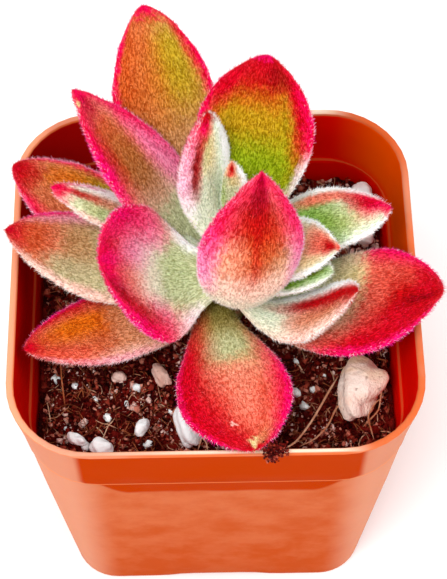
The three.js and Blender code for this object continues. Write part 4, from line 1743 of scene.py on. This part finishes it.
@dataclass
class Soil:
    """Peat in the pot, with crumbs, fibres and white grains on it."""

    half: float = 24.65
    corner: float = 7.6
    foot_half: float = 20.6
    foot_z: float = 1.7
    cells: int = 190
    lump_width: float = 1.5
    lump_depth: float = 2.2
    lump_layers: int = 3
    lumps_above: float = 30.0
    clear_wall: float = 0.5
    crumbs: Crumbs = Crumbs("peat_crumbs", 4500, -1.65, 0.5)
    flakes: Crumbs = Crumbs("peat_flakes", 20000, -2.0, 0.4)
    flake_size: float = 1.2
    smallest_crumb: float = 0.07
    crumb_spread: float = 0.5
    crumb_shape: Span = (0.25, 1.9)
    crumb_lift: Span = (-0.3, 0.95)
    crumb_jitter: float = 0.2
    dark_below: float = 0.66
    middling_below: float = 0.84
    lightness: tuple[Span, ...] = ((1.3, 5), (3, 3), (5, 1.8))
    fibres: int = 2200
    fibre_steps: int = 7
    fibre_lift: Span = (0.2, 1.1)
    fibre_radius: Span = (0.035, 0.12)
    short_fibre: Span = (0.7, 2.4)
    long_fibre: Span = (2.5, 5.5)
    long_every: int = 6
    fibre_limit: float = 24.0
    fibre_curl: float = 0.35
    fibre_climb: Span = (-0.15, 0.45)
    fibre_shades: Span = (1.1, 1.8)
    fibre_sides: int = 3
    fibre_taper: tuple[Ramp, Ramp] = ((0, 0.12, 0.85, 1), (0.25, 1, 0.8, 0.2))
    root_steps: int = 16
    root_sides: int = 6
    grain_lift: float = 0.3
    grain_shape: Span = (0.6, 1.25)
    grain_jitter: float = 0.07
    seed: int = 5
    grains: tuple[Grain, ...] = (
        Grain(-9.4, -20.1, 1.5), Grain(-18.1, -20.1, 1.2), Grain(-15, -16, 1.4), Grain(-22.4, -9.5, 1.4),
        Grain(-19.6, -11.1, 1.1), Grain(-11, -11.5, 1.4), Grain(11.3, -7.7, 1.3), Grain(13.6, -12, 1.3),
        Grain(11.2, -12.8, 1.4), Grain(12.3, -14.4, 1.5), Grain(-12.6, -13.6, 0.8),
        Grain(-16.8, -12.8, 0.8), Grain(-6.3, -15.2, 0.8), Grain(9.2, -10.6, 0.6), Grain(15.4, -9.4, 0.7),
        Grain(-20.8, -17, 0.7), Grain(21, 15.5, 1.3), Grain(19.5, 18.6, 1.1), Grain(-14, 19, 1.3),
        Grain(3, 21.5, 1.2), Grain(-4, 18, 0.9), Grain(22.6, 2, 1.0), Grain(-21.8, 6, 1.1),
    )
    roots: tuple[Root, ...] = (
        Root(((17.2, -10.4, 42.5), (15.6, -13.4, 43.4), (14.3, -16.2, 44.2), (12.6, -19.6, 45.4),
              (10.8, -23, 47.6), (9.6, -25.6, 51), (8.8, -27.2, 53.8)), 0.17, 0.72),
        Root(((18.6, -13.8, 42.3), (16.6, -15.6, 43), (15.4, -18.6, 43.4), (13.4, -21, 43.9),
              (11.2, -22.2, 44.2)), 0.15, 0.6),
        Root(((20.2, -18.2, 42), (22.4, -16.6, 43.6), (23, -13.4, 44.4), (22.6, -10.6, 43.6)), 0.13, 0.66),
        Root(((21.6, -20.2, 42), (20.8, -17.4, 43.4), (22, -15.4, 43.9), (23.4, -14.2, 43.2)), 0.13, 0.62),
        Root(((-21, -14, 42), (-21.4, -11, 43.6), (-21.6, -8.4, 44), (-22.2, -6, 43.4)), 0.12, 0.5),
        Root(((-2.6, -21.4, 42), (-2, -20.4, 44), (-1.4, -22, 45.4), (-1.2, -23.4, 45.6)), 0.13, 0.8),
    )

    def edge(self, way: np.ndarray) -> np.ndarray:
        """How far the rounded square's edge lies from its middle.

        Args:
            way: Directions from the middle, as angles.

        Returns:
            The distances there, as shares of half the square's side.
        """
        flat = 1 - self.corner / self.half
        c, s = np.abs(np.cos(way)), np.abs(np.sin(way))
        big, small = np.maximum(c, s), np.minimum(c, s)
        reach = flat * (big + small)
        arc = reach + np.sqrt(np.maximum(reach**2 - 2 * flat**2 + (1 - flat) ** 2, 0))
        return np.where(small / big <= flat, 1 / big, arc)

    def bed(self) -> bpy.types.Object:
        """Models the peat: a fine grid bent to the pot's rounded square, lumped, with sides and a base.

        Returns:
            The piece.
        """
        clear_selection()
        bpy.ops.mesh.primitive_grid_add(x_subdivisions=self.cells, y_subdivisions=self.cells, size=2)
        piece = named("peat_bed")
        x, y, _ = points_of(piece).T
        way = np.arctan2(y, x)
        out = self.edge(way) * np.maximum(np.abs(x), np.abs(y)) * self.half
        x, y = out * np.cos(way), out * np.sin(way)
        set_points(piece, np.stack([x, y, soil_height(x, y)], 1) * MM)
        edit_all(piece)
        bpy.ops.mesh.region_to_loop()
        down = self.foot_z - soil_height(np.zeros(1), np.zeros(1))[0]
        bpy.ops.mesh.extrude_region_move(TRANSFORM_OT_translate={"value": (0, 0, down * MM)})
        ratio = self.foot_half / self.half
        bpy.ops.transform.resize(value=(ratio, ratio, 0), center_override=(0, 0, self.foot_z * MM))
        bpy.ops.mesh.edge_face_add()
        close_edit()
        before = points_of(piece)
        roughen(piece, self.lump_width, self.lump_depth, self.lump_layers, "Z")
        low = before[:, 2:] < self.lumps_above * MM
        set_points(piece, np.where(low, before, points_of(piece)))
        smooth(piece)
        return piece

    def scatter(self, rng: np.random.Generator, count: int) -> tuple[np.ndarray, np.ndarray]:
        """Random places on the soil, clear of the pot's rounded corners.

        Args:
            rng: Where the chances come from.
            count: How many places.

        Returns:
            Their x and their y.
        """
        found = np.empty((0, 2))
        half = self.half - self.clear_wall
        while len(found) < count:
            xy = rng.uniform(-1, 1, (count, 2)) * half
            over = np.maximum(np.abs(xy) - (half - self.corner), 0)
            found = np.vstack([found, xy[np.linalg.norm(over, axis=1) < self.corner]])
        return found[:count, 0], found[:count, 1]

    def shades(self, rng: np.random.Generator, x: np.ndarray, y: np.ndarray) -> np.ndarray:
        """Chooses how light each crumb is: most are dark, and patches of the soil are lighter.

        Args:
            rng: Where the chances come from.
            x: Their places from left to right.
            y: Their places from front to back.

        Returns:
            A lightness from 0 to 1 for each.
        """
        count = len(x)
        kind = rng.random(count)
        dark, middling, pale = (rng.beta(*shape, count) for shape in self.lightness)
        shade = np.select([kind < self.dark_below, kind < self.middling_below], [dark, middling], pale)
        patches = 0.92 + 0.35 * np.sin(1.1 * x + 0.6) * np.sin(0.9 * y + 1.3)
        patches += 0.25 * np.sin(0.37 * x + 0.53 * y)
        # The back right is lighter: partly paler, golden litter and partly painted light where the pot's wall
        # shades the soil.
        back_right = np.clip((x + y - 16) / 12, 0, 1)
        return np.clip(shade * (patches + 1.1 * back_right), 0, 1)

    def crumb_layer(self, rng: np.random.Generator, layer: Crumbs,
                    pattern: bpy.types.Object) -> bpy.types.Object:
        """Scatters thousands of copies of a shape over the soil.

        Args:
            rng: Where the chances come from.
            layer: How many, and how big.
            pattern: The shape.

        Returns:
            The piece, with each crumb's lightness in an attribute.
        """
        corners = len(pattern.data.vertices)
        x, y = self.scatter(rng, layer.count)
        sizes = rng.lognormal(layer.middle, self.crumb_spread, layer.count)
        sizes = np.clip(sizes, self.smallest_crumb, layer.largest)
        shape = rng.uniform(*self.crumb_shape, (layer.count, 3)) * sizes[:, None] * MM
        z = soil_height(x, y) + rng.uniform(*self.crumb_lift, layer.count)
        piece = repeated(layer.name, pattern, turned(rng, layer.count), shape, np.stack([x, y, z], 1) * MM)
        jitter(piece, rng, sizes, self.crumb_jitter)
        set_attribute(piece, "shade", np.repeat(self.shades(rng, x, y), corners))
        return piece

    def tubes(self, name: str, lines: list[np.ndarray], radii: list[float], shades: list[float],
              sides: int) -> bpy.types.Object:
        """Makes one piece of many thin fibres.

        Args:
            name: The piece's name.
            lines: The points that each passes through, all with the same number, in millimetres.
            radii: The radius of each.
            shades: The lightness of each.
            sides: How many sides each has.

        Returns:
            The piece, with pointed ends on each fibre.
        """
        off_axis = np.array([0.31, 0.2, 0.93])
        line = np.array(lines)
        count, steps, _ = line.shape
        way = unit(np.gradient(line, axis=1))
        aside = unit(np.cross(way, off_axis))[:, :, None]
        third = np.cross(way[:, :, None], aside)
        turn = (np.arange(sides) * 2 * np.pi / sides)[:, None]
        thinned = np.interp(np.linspace(0, 1, steps), *self.fibre_taper)
        girth = (np.array(radii)[:, None] * thinned)[:, :, None, None]
        points = line[:, :, None] + (np.cos(turn) * aside + np.sin(turn) * third) * girth
        ends = np.stack([line[:, 0], line[:, -1]], 1)
        points = np.concatenate([points.reshape(count, -1, 3), ends], 1)
        first, last, top = steps * sides, steps * sides + 1, (steps - 1) * sides
        faces = []
        for k in range(0, top, sides):
            for i in range(sides):
                a, b = k + i, k + (i + 1) % sides
                faces += [(a, b, b + sides), (a, b + sides, a + sides)]
        for i in range(sides):
            j = (i + 1) % sides
            faces += [(first, j, i), (last, top + i, top + j)]
        faces = np.array(faces)[None] + np.arange(count)[:, None, None] * points.shape[1]
        piece = mesh_piece(name, points.reshape(-1, 3) * MM, faces.reshape(-1, 3))
        set_attribute(piece, "shade", np.repeat(np.array(shades), points.shape[1]))
        return piece

    def fibre_layer(self, rng: np.random.Generator) -> bpy.types.Object:
        """Scatters curved fibres over the soil, most of them short.

        Args:
            rng: Where the chances come from.

        Returns:
            One piece with all of them.
        """
        x, y = self.scatter(rng, self.fibres)
        steps = np.arange(self.fibre_steps)
        lines, radii = [], []
        for i in range(self.fibres):
            length = rng.uniform(*(self.short_fibre if i % self.long_every else self.long_fibre))
            turn, curl = rng.uniform(0, 2 * np.pi), rng.normal(0, self.fibre_curl)
            climb = rng.uniform(*self.fibre_climb)
            angle = turn + curl * steps / 2
            way = np.stack([np.cos(angle), np.sin(angle), climb * np.cos(steps * 0.6)], 1)
            line = np.array([x[i], y[i], 0]) + np.cumsum(way * length / self.fibre_steps, 0)
            line[:, :2] = np.clip(line[:, :2], -self.fibre_limit, self.fibre_limit)
            line[:, 2] += soil_height(line[:, 0], line[:, 1]) + rng.uniform(*self.fibre_lift)
            lines.append(line)
            radii.append(rng.uniform(*self.fibre_radius))
        shades = list(rng.beta(*self.fibre_shades, self.fibres))
        return self.tubes("peat_fibres", lines, radii, shades, self.fibre_sides)

    def root_layer(self) -> bpy.types.Object:
        """Lays the long pale roots at the front, with their bends eased.

        Returns:
            One piece with all of them.
        """
        lines = []
        for root in self.roots:
            line = np.array(root.line)
            at = np.linspace(0, len(line) - 1, self.root_steps)
            eased = np.stack([np.interp(at, np.arange(len(line)), line[:, k]) for k in range(3)], 1)
            eased[1:-1] = (eased[:-2] + 2 * eased[1:-1] + eased[2:]) / 4
            lines.append(eased)
        radii, shades = [root.radius for root in self.roots], [root.shade for root in self.roots]
        return self.tubes("pale_roots", lines, radii, shades, self.root_sides)

    def grain_layer(self, rng: np.random.Generator) -> bpy.types.Object:
        """Lays out the white grains.

        Args:
            rng: Where the chances come from.

        Returns:
            One piece with all of them.
        """
        x, y, size = np.array([(g.x, g.y, g.size) for g in self.grains]).T
        places = np.stack([x, y, soil_height(x, y) + self.grain_lift + size / 4], 1) * MM
        shape = size[:, None] * rng.uniform(*self.grain_shape, (len(x), 3)) * MM
        piece = repeated("perlite_grains", ball(2, 0.5), turned(rng, len(x)), shape, places)
        jitter(piece, rng, size, self.grain_jitter)
        return piece

    def make(self) -> None:
        """Builds and dresses the soil and all that lies on it, and ties them to the part."""
        rng = np.random.default_rng(self.seed)
        # The bed is nearly black: partly the damp peat's own colour and partly painted shade for the shadows
        # among the crumbs and under the leaves.
        bed = EarthFinish("dark_peat_and_painted_shade", ((0.0, "280202"), (0.5, "540604"), (1.0, "78140c")))
        threads = EarthFinish("root_threads", ((0.0, "4a0c06"), (0.5, "b4643c"), (1.0, "f8d4b0")), "shade",
                              (0.5, 0.8))
        put_in_place(self.bed(), bed.material(), Slot.SOIL, "soil")
        bits = BITS.material()
        put_in_place(self.crumb_layer(rng, self.crumbs, ball(1)), bits, Slot.SOIL)
        clear_selection()
        bpy.ops.mesh.primitive_cylinder_add(vertices=3, radius=self.flake_size, depth=self.flake_size)
        put_in_place(self.crumb_layer(rng, self.flakes, bpy.context.object), bits, Slot.SOIL)
        thread = threads.material()
        put_in_place(self.fibre_layer(rng), thread, Slot.SOIL)
        put_in_place(self.root_layer(), thread, Slot.SOIL)
        white = StoneFinish("white_perlite", "f4ffff", "f4ffff", "f0f0e4", 0.2, 0.35)
        put_in_place(self.grain_layer(rng), white.material(), Slot.STONE)


# Stones


class Rock(Enum):
    """The stones' finishes."""

    PUMICE = StoneFinish("cream_pumice", "fceadc", "f0d0bc", "eac484")
    PINK = StoneFinish("pink_pumice", "e8cabc", "d8a898", "c89078")
    PERLITE = StoneFinish("perlite_lump", "f8ffff", "f4fcfc", "f8f0dc", 0.2, 0.35)


@dataclass(frozen=True)
class Lobe:
    """A swelling on a stone: which way it faces, how far it stands out, and how sharp it is."""

    way: Place
    swell: float
    sharp: float


@dataclass(frozen=True)
class Stone:
    """A lump of pumice or perlite, half sunk in the soil.

    Its taper widens it towards its back, and its steps are how finely it is divided. A dent has its
    width and its depth, as shares of the stone's smallest size.
    """

    name: str
    at: Place
    size: Place
    turn: float
    rock: Rock
    lobes: tuple[Lobe, ...] = ()
    taper: float = 0.0
    steps: int = 4
    dents: tuple[Span, Span] = ((0.3, 0.08), (0.09, 0.025))

    def build(self) -> bpy.types.Object:
        """Models the stone.

        Returns:
            The piece.
        """
        ball(self.steps)
        piece = named(self.name + "_lump")
        p = points_of(piece)
        x, y, z = p.T
        swell = 1 + 0.13 * np.sin(3.1 * x + self.at[0]) * np.cos(2.7 * y + self.at[1])
        swell += 0.08 * np.sin(5.3 * z + 4 * x)
        for lobe in self.lobes:
            swell = swell + lobe.swell * np.exp(lobe.sharp * (p @ unit(np.array(lobe.way)) - 1))
        p = p * (swell / 2)[:, None] * np.array(self.size)
        p[:, 0] *= 1 + self.taper * y
        turn = math.radians(self.turn)
        c, s = math.cos(turn), math.sin(turn)
        set_points(piece, (p @ np.array([[c, s, 0], [-s, c, 0], [0, 0, 1]]) + np.array(self.at)) * MM)
        scale = min(self.size)
        for width, depth in self.dents:
            roughen(piece, width * scale, depth * scale)
        smooth(piece)
        return piece


STONES = (
    Stone("pumice_front_right", (19.8, -13.4, 43.4), (5.8, 9.4, 5.4), -6, Rock.PUMICE,
          (Lobe((1, 0.25, 0.5), 0.62, 14), Lobe((0.75, -0.65, 0.2), -0.2, 7),
           Lobe((-0.2, 0.9, 0.2), 0.12, 5)), 0.26, 5),
    Stone("pumice_front_middle", (-3.9, -17.4, 43), (3.6, 7.4, 4.2), 12, Rock.PERLITE, (), -0.12, 5),
    Stone("pumice_by_front_leaf", (-7.6, -10, 42.8), (2.2, 4, 2.4), 28, Rock.PINK),
    Stone("perlite_at_front_rim", (-15.8, -20.9, 42.6), (3.2, 2.4, 2.2), 0, Rock.PERLITE),
    Stone("perlite_front", (-10.3, -17.9, 42.4), (1.8, 2.8, 1.9), -20, Rock.PERLITE),
    Stone("perlite_corner", (-19.2, -19.6, 42.4), (2.7, 1.5, 1.7), -30, Rock.PERLITE,
          (Lobe((-0.9, 0.4, 0.4), 0.3, 8), Lobe((0, 0.5, 0.8), -0.25, 9))),
    Stone("perlite_left", (-13.5, -9.9, 42.4), (2.2, 1.5, 1.6), 15, Rock.PINK),
    Stone("pumice_back_right", (22.2, 21, 42.6), (3.0, 2.5, 2.2), -30, Rock.PERLITE),
    Stone("pumice_right", (22.3, 12.6, 42.5), (2.4, 2.1, 1.9), 10, Rock.PERLITE),
)


@dataclass
class Stones:
    """All the loose lumps, and the clump of peat that lies on the rim and drops over its edge.

    A drop has the place that it starts from, and how far the crumbs that fall stray from it.
    """

    stones: tuple[Stone, ...] = STONES
    clump_at: Place = (7.6, -27.7, 54.3)
    clump_bits: int = 320
    clump_spread: Place = (0.8, 0.5, 0.3)
    clump_reach: float = 1.6
    bit_size: Span = (0.06, 0.26)
    bit_shade: Span = (0.05, 0.5)
    dropping: float = 0.22
    drop_front: Span = (-28.3, 0.3)
    drop_aside: Span = (-0.6, 0.35)
    drop_height: Span = (53.9, 1.6)
    seed: int = 23

    def clump(self) -> bpy.types.Object:
        """Models the clump: many small crumbs heaped over the rim's edge.

        Returns:
            The piece, with each crumb's lightness in an attribute.
        """
        rng = np.random.default_rng(self.seed)
        count = self.clump_bits
        spread = rng.normal(size=(count, 3)) * self.clump_spread
        places = np.array(self.clump_at) + np.clip(spread, -self.clump_reach, self.clump_reach)
        drop = rng.random(count) < self.dropping
        dropped = drop.sum()
        places[drop, 1] = self.drop_front[0] - rng.random(dropped) * self.drop_front[1]
        stray = rng.normal(size=dropped) * self.drop_aside[1]
        places[drop, 0] = self.clump_at[0] + self.drop_aside[0] + stray
        places[drop, 2] = self.drop_height[0] - rng.random(dropped) * self.drop_height[1]
        pattern = ball(1)
        corners = len(pattern.data.vertices)
        shape = rng.uniform(*self.bit_size, (count, 3)) * MM
        piece = repeated("rim_peat_clump", pattern, turned(rng, count), shape, places * MM)
        set_attribute(piece, "shade", np.repeat(np.clip(rng.beta(1.0, 4.0, count), *self.bit_shade), corners))
        return piece

    def make(self) -> None:
        """Builds and dresses every stone and the clump, and ties them to the part."""
        materials = {rock: rock.value.material() for rock in Rock}
        for stone in self.stones:
            put_in_place(stone.build(), materials[stone.rock], Slot.STONE, stone.name)
        put_in_place(self.clump(), bpy.data.materials[BITS.name], Slot.SOIL, "peat_crumb_on_rim")


# Studio


def stand(thing: bpy.types.Object, *columns: np.ndarray | Place) -> None:
    """Puts a camera or a lamp in the scene.

    Args:
        thing: The camera or the lamp.
        *columns: The ways that its right side, its top and its back point, and its place in metres.
    """
    bpy.context.scene.collection.objects.link(thing)
    matrix = np.eye(4)
    matrix[:3] = np.stack(columns, 1)
    thing.matrix_world = Matrix(matrix.tolist())


@dataclass
class Studio:
    """The pale floor, the soft light and the camera."""

    eye: Place = (-0.622, -138.835, 274.337)
    right: Place = (0.99983, -0.01831, -0.00268)
    up: Place = (0.017, 0.85101, 0.52487)
    back: Place = (-0.00733, -0.52483, 0.85118)
    lens: float = 117.72
    sensor: float = 36.0
    daylight: float = 0.92
    target: Place = (0, 0, 0.045)
    lamps: tuple[tuple[str, Place, float, float], ...] = (
        ("key_lamp", (-0.2, -0.3, 0.6), 0.35, 2.9), ("fill_lamp", (0.5, -0.1, 0.4), 0.5, 1.0),
    )
    floor_size: float = 6.0
    floor_roughness: float = 0.9

    def camera(self) -> None:
        """Sets the camera where the photograph was taken from."""
        data = bpy.data.cameras.new("camera")
        data.lens, data.sensor_width, data.clip_start = self.lens, self.sensor, 0.01
        camera = bpy.data.objects.new("camera", data)
        stand(camera, self.right, self.up, self.back, np.array(self.eye) * MM)
        bpy.context.scene.camera = camera

    def lamp(self, name: str, place: Place, size: float, power: float) -> None:
        """Hangs a soft square lamp that faces the pot.

        Args:
            name: Its name.
            place: Where it hangs, in metres.
            size: Its side, in metres.
            power: Its power, in watts.
        """
        data = bpy.data.lights.new(name, "AREA")
        data.size, data.energy = size, power
        back = unit(np.array(place) - self.target)
        right = unit(np.cross((0, 0, 1), back))
        stand(bpy.data.objects.new(name, data), right, np.cross(back, right), back, place)

    def make(self) -> None:
        """Sets up the floor, the light and the camera."""
        clear_selection()
        bpy.ops.mesh.primitive_plane_add(size=self.floor_size)
        floor = named("floor")
        material, n, shader = new_material("pale_floor")
        n.feed(shader.inputs["Base Color"], n.ramp(n.noise(n.place(), 3.0), (0.0, "fbfbfb"), (1.0, "ffffff")))
        set_constants(shader, Roughness=self.floor_roughness)
        floor.data.materials.append(material)
        world = bpy.data.worlds.new("daylight")
        world.use_nodes = True
        sky = world.node_tree.nodes["Background"].inputs
        sky[0].default_value, sky[1].default_value = (1.0, 1.0, 1.0, 1.0), self.daylight
        bpy.context.scene.world = world
        for lamp in self.lamps:
            self.lamp(*lamp)
        bpy.context.scene.view_settings.view_transform = "Standard"
        self.camera()


def main() -> None:
    """Builds the whole scene."""
    logging.basicConfig(level=logging.INFO, format="%(message)s")
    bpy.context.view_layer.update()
    for assembly in (Pot(), Soil(), Stones(), Rosette(), Studio()):
        log.info("%s", type(assembly).__name__)
        assembly.make()


if __name__ == "__main__":
    main()
